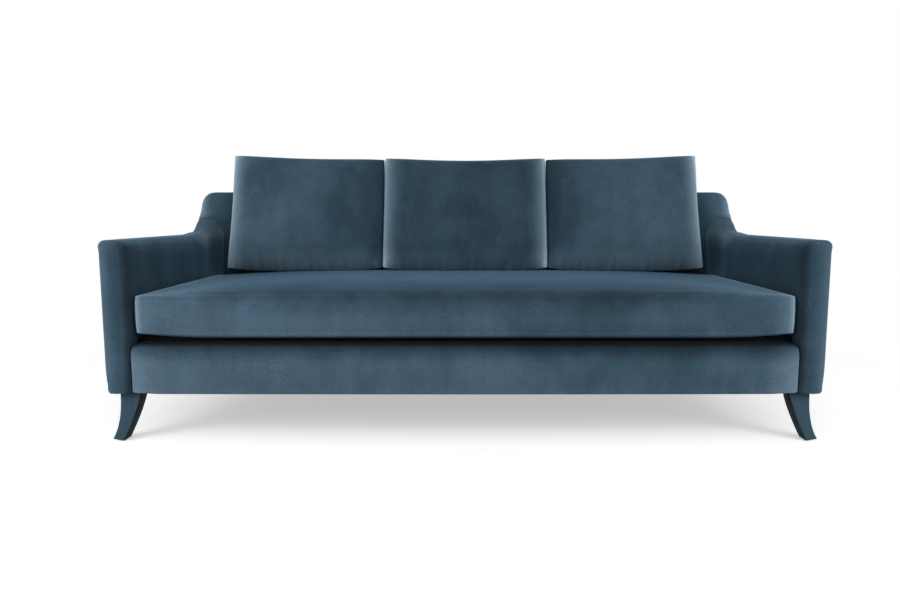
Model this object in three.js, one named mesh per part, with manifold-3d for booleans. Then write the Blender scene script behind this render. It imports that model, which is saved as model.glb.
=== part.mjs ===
// Three-seat sofa with a bench seat cushion, three loose back cushions, scooped arms and sabre legs.
// Millimetres. +X runs along the width, +Y to the back, +Z up, origin on the floor under the middle.
import * as THREE from 'three';
import { mergeVertices } from 'three/addons/utils/BufferGeometryUtils.js';
import Module from 'manifold-3d';

// Overall size
const overallWidth = 2214;
const overallDepth = 950;
const undersideHeight = 161;
const backHeight = 795;
const armDrop = 167;
const seamGap = 0.3;
const overrun = 40;
const weldTolerance = 0.001;

// Arms
const armWidth = 84.4;
const armInsidePad = 24;
const armTopPad = 14;
const frontPad = 20;
const armInnerEdgeRadius = 25;
const armOuterEdgeRadius = 18;
const armFrontInnerRadius = 28;
const armFrontOuterRadius = 15;
const armBottomRadius = 13;
const scoopRadius = 160;
const scoopRun = 116;
const archWidth = 75;
const archHeight = 88;
const archFlare = 37.6;
const archFlareRun = 100;

// Back
const backRake = THREE.MathUtils.degToRad(11);
const rearRake = THREE.MathUtils.degToRad(4);
const backTopThickness = 98;
const backPad = 35;
const backTopPad = 22;
const backTopFrontRadius = 30;
const backTopRearRadius = 15;
const backCornerWidth = 42;
const backCornerDrop = 62;
const backSideInset = 7;
const backEdgeRadius = 47;
const backSeamRadius = 8;
const backRearRadius = 10;
const backEdgeRise = 45;

// Outside panels
const outsidePad = 13;
const outsideReveal = 22;
const riserSetback = 36;
const panelTopDrop = 50;

// Front border
const borderHeight = 158;
const borderReach = 60;
const borderBow = 6;
const borderEdgeRadius = 18;
const borderCornerWidth = 18;
const borderCornerDrop = 14;

// Wooden frame
const seatRailHeight = 120;
const seatRailThickness = 30;
const stretcherWidth = 40;
const stretcherHeight = 105;
const frontPostDepth = 60;
const armRailHeight = 55;
const legBlockLength = 100;
const legBlockHeight = 45;
const baseRailHeight = 60;
const backRailThickness = 30;
const tuckRailLift = 15;
const tuckRailHeight = 50;
const stileWidth = 40;
const topRailHeight = 37;
const topRailShoulder = 24;
const topRailShoulderWidth = 34;

// Back webbing
const webbingThickness = 1.5;
const webbingWidth = 50;
const webbingUprights = 8;
const webbingRows = 2;
const webbingEdgeMargin = 67;

// Zigzag seat springs and their clips
const springCount = 10;
const springEdgeMargin = 192;
const springWire = 4;
const springWidth = 50;
const springPitch = 43;
const springBend = 11;
const clipPlate = 1.5;
const clipLength = 11;
const clipWidth = 20;
const clipSetback = 12;

// Seat deck and dust cover
const deckHeight = 330;
const deckThickness = 21;
const deckSideOverlap = 18;
const dustCoverThickness = 1.4;
const dustCoverInset = 12;

// Legs, bolts and glides
const legTopWidth = 61;
const legTopDepth = 56;
const legFootDepth = 52;
const legEdge = 5;
const legSideInset = 35;
const legFrontInset = 30;
const legRearInset = 30;
const legInnerSweep = 57;
const legOuterSweep = 33;
const legInnerBendShare = 1.35;
const legOuterBendShare = 2.5;
const boltDiameter = 8;
const boltLength = 70;
const boltHoleClearance = 0.6;
const glideDiameter = 24;
const glideThickness = 3;
const glidePinDiameter = 4;
const glidePinLength = 12;

// Seat cushion
const seatSideGap = 13;
const seatFrontInset = 20;
const seatRearGap = 2;
const seatEdgeThickness = 118;
const seatEndLift = 13.7;
const seatCrown = 26;
const seatCrownReach = 250;
const seatRearCrownReach = 60;
const seatFrontCornerRadius = 10;
const seatRearCornerRadius = 42;
const seatBottomTuck = 16;

// Back cushions
const cushionLean = THREE.MathUtils.degToRad(19.1);
const cushionHeight = 478;
const cushionSideGap = 95;
const centreCushionExtra = 38;
const cushionGap = 5;
const cushionInnerDrop = 16;
const centreCushionDrop = 12;
const cushionFootSetback = 147;
const cushionFrontLoft = 80;
const cushionRearLoft = 100;
const cushionTopDip = 6;
const centreCushionTopDip = 11;
const cushionCornerLift = 12;
const coverThickness = 12;
const zipWidth = 4;
const backZipMargin = 110;
const seatZipMargin = 260;

// Segment counts
const cornerSegments = 4;
const smallCornerSegments = 2;
const scoopSegments = 6;
const legRings = 8;
const roundSides = 12;
const coverColumns = 14;
const coverRows = 12;
const coreColumns = 8;
const coreRows = 6;

// Shares, chosen by hand
const frontRoundingShares = [0, 0.1, 0.35, 1];
const borderStationShares = [-1, -0.66, -0.33, 0, 0.33, 0.66, 1];
const borderCornerShares = [0, 0.2, 0.55, 1];
const seatTopInsetShares = [0.05, 0.2, 0.5, 1];
const seatBottomInsetShares = [1, 0.25];
const seatSideHeightShares = [0.14, 0.5, 0.86];
const seatSideTuckShares = [0.3, 0, 0.15];
const leastRadiusShare = 0.3;
const thinCornerShare = 0.45;
const loftPowerShare = 0.6;
const edgeRiseShare = 0.9;

// Places that several pieces share
const armHeight = backHeight - armDrop;
const halfWidth = overallWidth / 2;
const frontY = -overallDepth / 2;
const rearTopY = overallDepth / 2;
const armInnerX = halfWidth - armWidth;
const frameInnerX = armInnerX + armInsidePad + seamGap;
const panelInnerX = halfWidth - outsidePad;
const frameOuterX = panelInnerX - seamGap;
const frameFrontY = frontY + frontPad + seamGap;
const frameBottomZ = undersideHeight + dustCoverThickness + 2 * seamGap;
const seatRailTopZ = frameBottomZ + seatRailHeight;
const blockTopZ = frameBottomZ + legBlockHeight;
const blockInnerX = frameOuterX - legBlockLength;
const deckBottomZ = deckHeight - deckThickness;
const borderTopZ = undersideHeight + borderHeight;
const topRailTopZ = backHeight - backTopPad - seamGap;
const uprightTopZ = topRailTopZ - topRailHeight - seamGap;

// Front and rear planes of the back, each leaning with height
const backFrontY = (z) => rearTopY - backTopThickness - (backHeight - z) * Math.tan(backRake);
const backRearY = (z) => rearTopY - (backHeight - backTopRearRadius - z) * Math.tan(rearRake);
const webbingFrontY = (z) => backFrontY(z) + backPad + seamGap;
const frameBackY = (z) => webbingFrontY(z) + webbingThickness + seamGap;
const frameRearY = (z) => backRearY(z) - outsidePad - seamGap;

// Scoop: the arc that lifts the level arm into the back, seen from the side
const scoopStartY = backFrontY(armHeight) - scoopRun;
const scoopCentreZ = armHeight + scoopRadius;

// Angle along an arc about the scoop's centre where it meets the back's front plane moved by setback
function scoopAngle(radius, setback) {
  const reach = scoopRun + setback + scoopRadius * Math.tan(backRake);
  return Math.asin(Math.min(1, (reach * Math.cos(backRake)) / radius)) - backRake;
}
const scoopEndAngle = scoopAngle(scoopRadius, 0);
const scoopEndZ = scoopCentreZ - scoopRadius * Math.cos(scoopEndAngle);
const armPassZ = scoopEndZ - armTopPad;
const panelTopZ = backHeight - panelTopDrop;

const wasm = await Module();
wasm.setup();

// Closed geometry to solid and back
function solidOf(geometry) {
  const bare = new THREE.BufferGeometry();
  bare.setAttribute('position', geometry.getAttribute('position'));
  if (geometry.getIndex()) bare.setIndex(geometry.getIndex());
  const merged = mergeVertices(bare, weldTolerance);
  return new wasm.Manifold(new wasm.Mesh({
    numProp: 3,
    vertProperties: new Float32Array(merged.getAttribute('position').array),
    triVerts: new Uint32Array(merged.getIndex().array),
  }));
}

function geometryOf(solid) {
  const mesh = solid.getMesh();
  const indexed = new THREE.BufferGeometry();
  indexed.setAttribute('position', new THREE.BufferAttribute(new Float32Array(mesh.vertProperties), 3));
  indexed.setIndex(new THREE.BufferAttribute(new Uint32Array(mesh.triVerts), 1));
  const flat = indexed.toNonIndexed();
  flat.computeVertexNormals();
  return flat;
}

// Same solid on the other side of the middle, its faces turned to point out again
function mirrored(solid) {
  const geometry = geometryOf(solid).scale(-1, 1, 1);
  const place = geometry.getAttribute('position');
  geometry.setIndex(Array.from({ length: place.count }, (_, i) => i - (i % 3) + ((3 - (i % 3)) % 3)));
  return solidOf(geometry);
}

// Closed solid from points and triangles, turned so that its faces point out
function solidFromFaces(points, faces) {
  let volume = 0;
  for (const [a, b, c] of faces) {
    volume += points[a].dot(new THREE.Vector3().crossVectors(points[b], points[c]));
  }
  const outward = volume < 0 ? faces.map(([a, b, c]) => [a, c, b]) : faces;
  const geometry = new THREE.BufferGeometry();
  const numbers = points.flatMap((p) => p.toArray());
  geometry.setAttribute('position', new THREE.Float32BufferAttribute(numbers, 3));
  geometry.setIndex(outward.flat());
  return solidOf(geometry);
}

// Skin over a row of rings with the same number of points, closed by a fan at each end
function loft(rings) {
  const count = rings[0].length;
  const points = rings.flat();
  const faces = [];
  for (let k = 0; k + 1 < rings.length; k += 1) {
    for (let i = 0; i < count; i += 1) {
      const next = (i + 1) % count;
      const [a, b] = [k * count + i, k * count + next];
      faces.push([a, b, b + count], [a, b + count, a + count]);
    }
  }
  for (const [ring, start] of [[rings[0], 0], [rings.at(-1), (rings.length - 1) * count]]) {
    const middle = ring.reduce((sum, p) => sum.add(p), new THREE.Vector3()).divideScalar(count);
    points.push(middle);
    for (let i = 0; i < count; i += 1) {
      const next = (i + 1) % count;
      const fan = [start + i, start + next, points.length - 1];
      faces.push(start === 0 ? [fan[1], fan[0], fan[2]] : fan);
    }
  }
  return solidFromFaces(points, faces);
}

function block(x0, x1, y0, y1, z0, z1) {
  const box = new THREE.BoxGeometry(x1 - x0, y1 - y0, z1 - z0);
  box.translate((x0 + x1) / 2, (y0 + y1) / 2, (z0 + z1) / 2);
  return solidOf(box);
}

// Outline extruded along a local axis and laid into the frame by three basis directions
function prism(outline, length, basis) {
  const shape = new THREE.Shape(outline.map(([u, v]) => new THREE.Vector2(u, v)));
  const body = new THREE.ExtrudeGeometry(shape, { depth: length, bevelEnabled: false });
  body.applyMatrix4(basis);
  return solidOf(body);
}
const axisX = new THREE.Vector3(1, 0, 0);
const axisY = new THREE.Vector3(0, 1, 0);
const axisZ = new THREE.Vector3(0, 0, 1);

// Outline in Y and Z, from x0 to x1
function sidePrism(outline, x0, x1) {
  const basis = new THREE.Matrix4().makeBasis(axisY, axisZ, axisX).setPosition(x0, 0, 0);
  return prism(outline, x1 - x0, basis);
}

// Outline in X and Z, from y0 to y1
function frontPrism(outline, y0, y1) {
  const basis = new THREE.Matrix4().makeBasis(axisX, axisZ, axisY.clone().negate()).setPosition(0, y1, 0);
  return prism(outline, y1 - y0, basis);
}

function cylinder(diameter, x, y, z0, z1) {
  const rod = new THREE.CylinderGeometry(diameter / 2, diameter / 2, z1 - z0, roundSides);
  rod.rotateX(Math.PI / 2);
  rod.translate(x, y, (z0 + z1) / 2);
  return solidOf(rod);
}

function arc(centreU, centreV, radiusU, radiusV, from, to, segments) {
  return Array.from({ length: segments + 1 }, (_, i) => {
    const angle = from + ((to - from) * i) / segments;
    return [centreU + radiusU * Math.cos(angle), centreV + radiusV * Math.sin(angle)];
  });
}

// How far a rounded edge falls back at a distance from the face that it rounds into
function roundingInset(radius, distance) {
  if (distance >= radius) return 0;
  return radius - Math.sqrt(radius ** 2 - (radius - distance) ** 2);
}

const quarter = Math.PI / 2;

// Arm outer form, right-hand side: arch sections from the front face to the back's plane
function armSection(section, placeY) {
  const { inner, outer, top, bottom, rise, run, outerRadius, bottomRadius } = section;
  const outline = [
    [inner, bottom],
    ...arc(inner + run, top - rise, run, rise, 2 * quarter, quarter, cornerSegments),
    ...arc(outer - outerRadius, top - outerRadius, outerRadius, outerRadius, quarter, 0, smallCornerSegments + 1),
    ...arc(outer - bottomRadius, bottom + bottomRadius, bottomRadius, bottomRadius, 0, -quarter,
      smallCornerSegments),
  ];
  return outline.map(([x, z]) => new THREE.Vector3(x, placeY(z), z));
}

function armForm() {
  const rings = [];
  for (const share of frontRoundingShares) {
    const depth = armFrontInnerRadius * share;
    const innerInset = roundingInset(armFrontInnerRadius, depth);
    const outerInset = roundingInset(armFrontOuterRadius, depth);
    const softer = Math.max(leastRadiusShare, 1 - innerInset / armFrontInnerRadius);
    rings.push(armSection({
      inner: armInnerX + innerInset,
      outer: halfWidth - outerInset,
      top: armHeight - outerInset,
      bottom: undersideHeight,
      rise: armInnerEdgeRadius * softer,
      run: armInnerEdgeRadius * softer,
      outerRadius: armOuterEdgeRadius * softer,
      bottomRadius: armBottomRadius,
    }, () => frontY + depth));
  }
  for (let k = 0; k <= scoopSegments + 1; k += 1) {
    const inside = k > scoopSegments;
    const progress = Math.min(1, k / scoopSegments);
    const angle = scoopEndAngle * progress;
    const top = scoopCentreZ - scoopRadius * Math.cos(angle);
    const ahead = inside ? 0 : backFrontY(top) - scoopStartY - scoopRadius * Math.sin(angle);
    const growth = progress ** 2;
    const setback = inside ? -overrun : ahead;
    rings.push(armSection({
      inner: armInnerX - (roundingInset(archFlareRun, Math.max(0, ahead)) * archFlare) / archFlareRun,
      outer: halfWidth,
      top,
      bottom: undersideHeight,
      rise: THREE.MathUtils.lerp(armInnerEdgeRadius, archHeight, growth),
      run: THREE.MathUtils.lerp(armInnerEdgeRadius, archWidth, growth),
      outerRadius: armOuterEdgeRadius,
      bottomRadius: armBottomRadius,
    }, (z) => backFrontY(z) - setback));
  }
  return loft(rings);
}

// Back outer form: plan sections from the underside to the top, grown forward by a clearance
function backForm(grow) {
  const edgeRise = Math.min(backEdgeRise, (backHeight - backCornerDrop - scoopEndZ) * edgeRiseShare);
  const stations = arc(0, undersideHeight + armBottomRadius, armBottomRadius, armBottomRadius,
    -quarter, 0, smallCornerSegments).map(([, z]) => ({ z, edge: backSeamRadius }));
  stations.push(
    { z: scoopEndZ, edge: backSeamRadius },
    { z: scoopEndZ + edgeRise / 2, edge: (backSeamRadius + backEdgeRadius) / 2 },
    { z: scoopEndZ + edgeRise, edge: backEdgeRadius },
  );
  for (let k = 0; k <= cornerSegments; k += 1) {
    const angle = (quarter * k) / cornerSegments;
    stations.push({ z: backHeight - backCornerDrop * (1 - Math.sin(angle)), edge: backEdgeRadius, angle });
  }
  const rings = stations.map(({ z, edge, angle = 0 }) => {
    const below = backHeight - z;
    const bottomInset = roundingInset(armBottomRadius, z - undersideHeight);
    const lean = backSideInset * THREE.MathUtils.clamp((z - scoopEndZ) / edgeRise, 0, 1);
    const side = halfWidth - bottomInset - lean - backCornerWidth * (1 - Math.cos(angle)) + grow;
    const front = backFrontY(z) + roundingInset(backTopFrontRadius, below) - grow;
    const rear = backRearY(z) - roundingInset(backTopRearRadius, below) + grow;
    const frontEdge = Math.min(edge, (rear - front) * thinCornerShare);
    const rearEdge = Math.min(backRearRadius, (rear - front) * thinCornerShare);
    const right = [
      ...arc(side - frontEdge, front + frontEdge, frontEdge, frontEdge, -quarter, 0, cornerSegments),
      ...arc(side - rearEdge, rear - rearEdge, rearEdge, rearEdge, 0, quarter, smallCornerSegments),
    ];
    const left = right.map(([x, y]) => [-x, y]).reverse();
    return [...right, ...left].map(([x, y]) => new THREE.Vector3(x, y, z + (z === backHeight ? grow : 0)));
  });
  return loft(rings);
}

// Outline of the outside arm panel, grown by a clearance and open past the body's bottom and rear
function outsideArmOutline(grow) {
  const reveal = outsideReveal - grow;
  const radius = scoopRadius + reveal;
  const end = scoopAngle(radius, riserSetback - grow);
  const riserY = (z) => backFrontY(z) + riserSetback - grow;
  const top = panelTopZ + grow;
  const scoop = arc(scoopStartY, scoopCentreZ, radius, radius, -quarter, end - quarter, scoopSegments);
  return [
    [frontY + reveal, undersideHeight - overrun],
    [frontY + reveal, armHeight - reveal],
    ...scoop,
    [riserY(top), top],
    [rearTopY + overrun, top],
    [rearTopY + overrun, undersideHeight - overrun],
  ];
}

// Layer at the rear between x0 and x1, as deep as the outside padding
function rearLayer(x0, x1, grow) {
  const top = panelTopZ + grow;
  const low = undersideHeight - overrun;
  const depth = outsidePad + grow;
  return sidePrism([
    [backRearY(low) - depth, low],
    [rearTopY + overrun, low],
    [rearTopY + overrun, top],
    [backRearY(top) - depth, top],
  ], x0, x1);
}

const panelWrapX = halfWidth - outsideReveal;

function outsideArmTool(grow) {
  const panel = sidePrism(outsideArmOutline(grow), panelInnerX - grow, halfWidth + overrun);
  return panel.add(rearLayer(panelWrapX - grow, halfWidth + overrun, grow));
}

const arm = armForm();
const back = backForm(0);
const backGrown = backForm(seamGap);

function armPad() {
  const top = armHeight - armTopPad;
  const radius = scoopRadius + armTopPad;
  const end = Math.acos((scoopCentreZ - armPassZ) / radius);
  const cavity = sidePrism([
    [frontY + frontPad, undersideHeight - overrun],
    [frontY + frontPad, top],
    ...arc(scoopStartY, scoopCentreZ, radius, radius, -quarter, end - quarter, scoopSegments),
    [rearTopY + overrun, armPassZ],
    [rearTopY + overrun, undersideHeight - overrun],
  ], armInnerX + armInsidePad, panelInnerX);
  const belowDeck = block(armInnerX - archFlare - overrun, panelInnerX, frontY + frontPad, rearTopY,
    undersideHeight - overrun, deckHeight + seamGap);
  return arm.subtract(backGrown).subtract(cavity).subtract(belowDeck).subtract(outsideArmTool(seamGap));
}

// Room for the wooden back frame between a front and a rear plane, grown by a clearance
function backFrameRoom(frontPlane, rearPlane, grow) {
  const low = undersideHeight - overrun;
  const top = topRailTopZ + grow;
  const side = frameOuterX + grow;
  const shoulderZ = top - topRailShoulder;
  const shoulderX = side - topRailShoulderWidth;
  const profile = sidePrism([
    [frontPlane(low), low],
    [rearPlane(low), low],
    [rearPlane(top), top],
    [frontPlane(top), top],
  ], -side, side);
  const outline = frontPrism([
    [-side, low], [side, low], [side, shoulderZ], [shoulderX, top], [-shoulderX, top], [-side, shoulderZ],
  ], backFrontY(low) - overrun, rearTopY + overrun);
  return profile.intersect(outline);
}

function insideBack() {
  const low = undersideHeight - overrun;
  const room = backFrameRoom((z) => backFrontY(z) + backPad, (z) => backRearY(z) - outsidePad, seamGap);
  const belowDeck = block(-panelInnerX, panelInnerX, backFrontY(low) - overrun, rearTopY + overrun,
    low, deckHeight + seamGap);
  const armPass = block(frameInnerX - seamGap, panelInnerX, backFrontY(low) - overrun, rearTopY, low, armPassZ);
  const rightSide = armPass.add(outsideArmTool(seamGap));
  return back.subtract(room).subtract(belowDeck).subtract(rightSide).subtract(mirrored(rightSide))
    .subtract(rearLayer(-panelWrapX, panelWrapX, seamGap));
}

function outsideArm() {
  return arm.add(back).intersect(outsideArmTool(0));
}

function outsideBack() {
  return back.intersect(rearLayer(seamGap - panelWrapX, panelWrapX - seamGap, 0));
}

// Front border: sections along the width, bowed forward in the middle and rounded down at its ends
const borderEndX = armInnerX - seamGap;
const clipHeight = 2 * (clipPlate + seamGap) + springWire;
const borderRoomTopZ = seatRailTopZ + clipHeight + seamGap;

function frontBorder() {
  const half = borderEndX - borderCornerWidth;
  const middle = borderStationShares.map((share) => ({ x: half * share, drop: 0 }));
  const corner = borderCornerShares.slice(1).map((share) => {
    const along = borderCornerWidth * share;
    const fall = borderCornerDrop * (1 - Math.sqrt(1 - share ** 2));
    return { x: half + along, drop: fall };
  });
  const stations = [...corner.map(({ x, drop }) => ({ x: -x, drop })).reverse(), ...middle, ...corner];
  const rings = stations.map(({ x, drop }) => {
    const front = frontY + borderBow * (x / borderEndX) ** 2;
    const top = borderTopZ - drop;
    const radius = borderEdgeRadius;
    const outline = [
      [front, undersideHeight],
      ...arc(front + radius, top - radius, radius, radius, 2 * quarter, quarter, cornerSegments),
      [frontY + borderReach, top],
      [frontY + borderReach, undersideHeight],
    ];
    return outline.map(([y, z]) => new THREE.Vector3(x, y, z));
  });
  const room = block(-halfWidth, halfWidth, frontY + frontPad, frontY + borderReach + overrun,
    undersideHeight - overrun, borderRoomTopZ);
  return loft(rings).subtract(room);
}

// Spring clips: a folded plate that holds the spring's end run, opening toward the seat
const clipY = [frameFrontY + clipSetback, webbingFrontY(seatRailTopZ) + seatRailThickness - clipSetback];

function springX(index) {
  const reach = frameInnerX - springEdgeMargin;
  return reach * ((2 * index) / (springCount - 1) - 1);
}

function clips(y, facing) {
  const half = clipLength / 2;
  const slotLow = clipPlate;
  const slotHigh = clipHeight - clipPlate;
  const web = half - clipPlate;
  const profile = [
    [-half, 0], [half, 0], [half, slotLow], [-web, slotLow], [-web, slotHigh], [half, slotHigh],
    [half, clipHeight], [-half, clipHeight],
  ].map(([v, w]) => [y + facing * v, seatRailTopZ + w]);
  return Array.from({ length: springCount }, (_, i) => (
    sidePrism(profile, springX(i) - clipWidth / 2, springX(i) + clipWidth / 2)));
}

// Seat rails between the arm frames, notched over the leg blocks, with the clips nailed on top
function seatRail(y0, facing, clipPlace) {
  const end = frameInnerX - seamGap;
  const notch = blockInnerX - seamGap;
  const outline = [
    [-notch, frameBottomZ], [notch, frameBottomZ], [notch, blockTopZ + seamGap], [end, blockTopZ + seamGap],
    [end, seatRailTopZ], [-end, seatRailTopZ], [-end, blockTopZ + seamGap], [-notch, blockTopZ + seamGap],
  ];
  const rail = frontPrism(outline, y0, y0 + seatRailThickness);
  return clips(clipPlace, facing).reduce((sum, clip) => sum.add(clip), rail);
}
const rearSeatRailY = webbingFrontY(seatRailTopZ);

function rearBottomRail() {
  const side = blockInnerX - seamGap;
  const top = frameBottomZ + baseRailHeight;
  return sidePrism([
    [frameRearY(frameBottomZ) - backRailThickness, frameBottomZ],
    [frameRearY(frameBottomZ), frameBottomZ],
    [frameRearY(top), top],
    [frameRearY(top) - backRailThickness, top],
  ], -side, side);
}

// Leg blocks fill the four bottom corners of the frame
const frontBlockY = frameFrontY;
const rearBlockY = frameRearY(frameBottomZ) - legBlockLength;

function sideRail() {
  const start = frameFrontY + frontPostDepth + seamGap;
  const blockEnd = frontBlockY + legBlockLength + seamGap;
  const low = blockTopZ + seamGap;
  return sidePrism([
    [blockEnd, frameBottomZ],
    [rearBlockY - seamGap, frameBottomZ],
    [rearBlockY - seamGap, blockTopZ],
    [frameBackY(blockTopZ) - seamGap, blockTopZ],
    [frameBackY(seatRailTopZ) - seamGap, seatRailTopZ],
    [start, seatRailTopZ],
    [start, low],
    [blockEnd, low],
  ], frameInnerX, frameOuterX);
}

function centreStretcher() {
  return block(-stretcherWidth / 2, stretcherWidth / 2, frameFrontY + seatRailThickness + seamGap,
    rearSeatRailY - seamGap, frameBottomZ, frameBottomZ + stretcherHeight);
}

const armRailTopZ = armHeight - armTopPad - seamGap;
const armRailLowZ = armRailTopZ - armRailHeight;

function frontPost() {
  return block(frameInnerX, frameOuterX, frameFrontY, frameFrontY + frontPostDepth,
    blockTopZ + seamGap, armRailLowZ - seamGap);
}

function armRail() {
  const radius = scoopRadius + armTopPad + seamGap;
  const top = armPassZ - seamGap;
  const end = Math.acos((scoopCentreZ - top) / radius);
  return sidePrism([
    [frameFrontY, armRailLowZ],
    [frameBackY(armRailLowZ) - seamGap, armRailLowZ],
    [frameBackY(top) - seamGap, top],
    ...arc(scoopStartY, scoopCentreZ, radius, radius, end - quarter, -quarter, scoopSegments),
    [frameFrontY, armRailTopZ],
  ], frameInnerX, frameOuterX);
}

function backUpright() {
  const low = blockTopZ + seamGap;
  return sidePrism([
    [frameBackY(low), low],
    [frameRearY(low), low],
    [frameRearY(uprightTopZ), uprightTopZ],
    [frameBackY(uprightTopZ), uprightTopZ],
  ], frameInnerX, frameOuterX);
}

function backTopRail() {
  const cut = block(-halfWidth, halfWidth, frontY, rearTopY + overrun,
    undersideHeight - 2 * overrun, topRailTopZ - topRailHeight);
  return backFrameRoom(frameBackY, frameRearY, 0).subtract(cut);
}

// Rail or stile of the back, leaning with the front plane
function leaningRail(x0, x1, z0, z1) {
  return sidePrism([
    [frameBackY(z0), z0],
    [frameBackY(z0) + backRailThickness, z0],
    [frameBackY(z1) + backRailThickness, z1],
    [frameBackY(z1), z1],
  ], x0, x1);
}
const tuckRailLowZ = deckHeight + tuckRailLift;
const tuckRailTopZ = tuckRailLowZ + tuckRailHeight;

function backTuckRail() {
  return leaningRail(seamGap - frameInnerX, frameInnerX - seamGap, tuckRailLowZ, tuckRailTopZ);
}

function backStile(side) {
  const x = (side * frameInnerX) / 3;
  return leaningRail(x - stileWidth / 2, x + stileWidth / 2, tuckRailTopZ + seamGap,
    topRailTopZ - topRailHeight - seamGap);
}

// Webbing straps over the front of the back frame, joined where they cross
function backWebbing() {
  const low = tuckRailLowZ + seamGap;
  const top = topRailTopZ - topRailShoulder;
  const strap = (x0, x1, z0, z1) => sidePrism([
    [webbingFrontY(z0), z0],
    [webbingFrontY(z0) + webbingThickness, z0],
    [webbingFrontY(z1) + webbingThickness, z1],
    [webbingFrontY(z1), z1],
  ], x0, x1);
  const span = 2 * (frameInnerX - webbingEdgeMargin);
  const straps = [];
  for (let i = 0; i < webbingUprights; i += 1) {
    const x = ((i + 0.5) / webbingUprights - 0.5) * span;
    straps.push(strap(x - webbingWidth / 2, x + webbingWidth / 2, low, top));
  }
  for (let i = 1; i <= webbingRows; i += 1) {
    const z = low + ((top - low) * i) / (webbingRows + 1);
    straps.push(strap(-span / 2, span / 2, z - webbingWidth / 2, z + webbingWidth / 2));
  }
  return straps.reduce((sum, piece) => sum.add(piece));
}

// Zigzag spring: cross runs joined by bends, crowned up to carry the deck
function seatSpring(index) {
  const [startY, endY] = clipY;
  const runs = Math.max(2, 2 * Math.round((endY - startY) / springPitch / 2));
  const pitch = (endY - startY) / runs;
  const endZ = seatRailTopZ + clipHeight / 2;
  const crown = deckBottomZ - seamGap - springWire / 2 - endZ;
  const straight = springWidth / 2 - springBend;
  const route = [[-straight, startY]];
  for (let k = 0; k < runs; k += 1) {
    const side = k % 2 === 0 ? 1 : -1;
    const y = startY + k * pitch;
    route.push([side * straight, y], [(side * springWidth) / 2, y + pitch / 2], [side * straight, y + pitch]);
  }
  route.push([straight, endY]);
  const points = route.map(([x, y]) => {
    const share = (y - startY) / (endY - startY);
    return new THREE.Vector3(springX(index) + x, y, endZ + crown * (4 * share * (1 - share)) ** 2);
  });
  const rings = points.map((p, i) => {
    const next = points[Math.min(i + 1, points.length - 1)];
    const before = points[Math.max(i - 1, 0)];
    const along = next.clone().sub(before).normalize();
    const across = new THREE.Vector3().crossVectors(axisZ, along).normalize();
    const upward = new THREE.Vector3().crossVectors(along, across);
    const radius = springWire / 2;
    return [across, upward, across.clone().negate(), upward.clone().negate()]
      .map((direction) => p.clone().addScaledVector(direction, radius));
  });
  return loft(rings);
}

function seatDeck() {
  const side = armInnerX + deckSideOverlap;
  return block(-side, side, frontY + borderReach + seamGap, webbingFrontY(deckHeight), deckBottomZ, deckHeight);
}

// Legs: sabre curve outward to the floor, bored for the bolt above and the glide below
const legTopZ = frameBottomZ - seamGap;
const legTopX = halfWidth - legSideInset - legTopWidth;

function legCentre(rear) {
  const y = rear ? backRearY(undersideHeight) - legRearInset - legTopDepth / 2
    : frontY + legFrontInset + legTopDepth / 2;
  const footX = legTopX + (legInnerSweep + legTopWidth + legOuterSweep) / 2;
  return { topX: legTopX + legTopWidth / 2, footX, y };
}

function legBody(rear) {
  const { topX, footX, y } = legCentre(rear);
  const rings = [];
  for (let k = 0; k <= legRings; k += 1) {
    const drop = k / legRings;
    const z = THREE.MathUtils.lerp(legTopZ, glideThickness + seamGap, drop);
    const inner = legTopX + legInnerSweep * drop ** legInnerBendShare;
    const outer = legTopX + legTopWidth + legOuterSweep * drop ** legOuterBendShare;
    const half = THREE.MathUtils.lerp(legTopDepth, legFootDepth, drop) / 2;
    const corners = [
      [inner + legEdge, y - half], [outer - legEdge, y - half], [outer, y - half + legEdge],
      [outer, y + half - legEdge], [outer - legEdge, y + half], [inner + legEdge, y + half],
      [inner, y + half - legEdge], [inner, y - half + legEdge],
    ];
    rings.push(corners.map(([cx, cy]) => new THREE.Vector3(cx, cy, z)));
  }
  const boltHole = cylinder(boltDiameter + boltHoleClearance, topX, y,
    legTopZ - boltLength / 2 - seamGap, legTopZ + overrun);
  const pinHole = cylinder(glidePinDiameter + boltHoleClearance, footX, y,
    -overrun, glideThickness + glidePinLength + seamGap);
  return loft(rings).subtract(boltHole).subtract(pinHole);
}

function legBolt(rear) {
  const { topX, y } = legCentre(rear);
  return cylinder(boltDiameter, topX, y, legTopZ - boltLength / 2, legTopZ + boltLength / 2);
}

function legBlock(rear) {
  const { topX, y } = legCentre(rear);
  const y0 = rear ? rearBlockY : frontBlockY;
  const hole = cylinder(boltDiameter + boltHoleClearance, topX, y,
    frameBottomZ - overrun, legTopZ + boltLength / 2 + seamGap);
  return block(blockInnerX, frameOuterX, y0, y0 + legBlockLength, frameBottomZ, blockTopZ).subtract(hole);
}

function glide(rear) {
  const { footX, y } = legCentre(rear);
  const pin = cylinder(glidePinDiameter, footX, y, glideThickness / 2, glideThickness + glidePinLength);
  return cylinder(glideDiameter, footX, y, 0, glideThickness).add(pin);
}

function dustCover() {
  const side = frameOuterX - dustCoverInset;
  const z0 = undersideHeight + seamGap;
  const sheet = block(-side, side, frameFrontY + dustCoverInset, frameRearY(frameBottomZ) - dustCoverInset,
    z0, z0 + dustCoverThickness);
  let cut = sheet;
  for (const rear of [false, true]) {
    const { y } = legCentre(rear);
    const hole = block(legTopX - seamGap, halfWidth, y - legTopDepth / 2 - seamGap,
      y + legTopDepth / 2 + seamGap, z0 - overrun, z0 + overrun);
    cut = cut.subtract(hole).subtract(mirrored(hole));
  }
  return cut;
}

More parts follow.
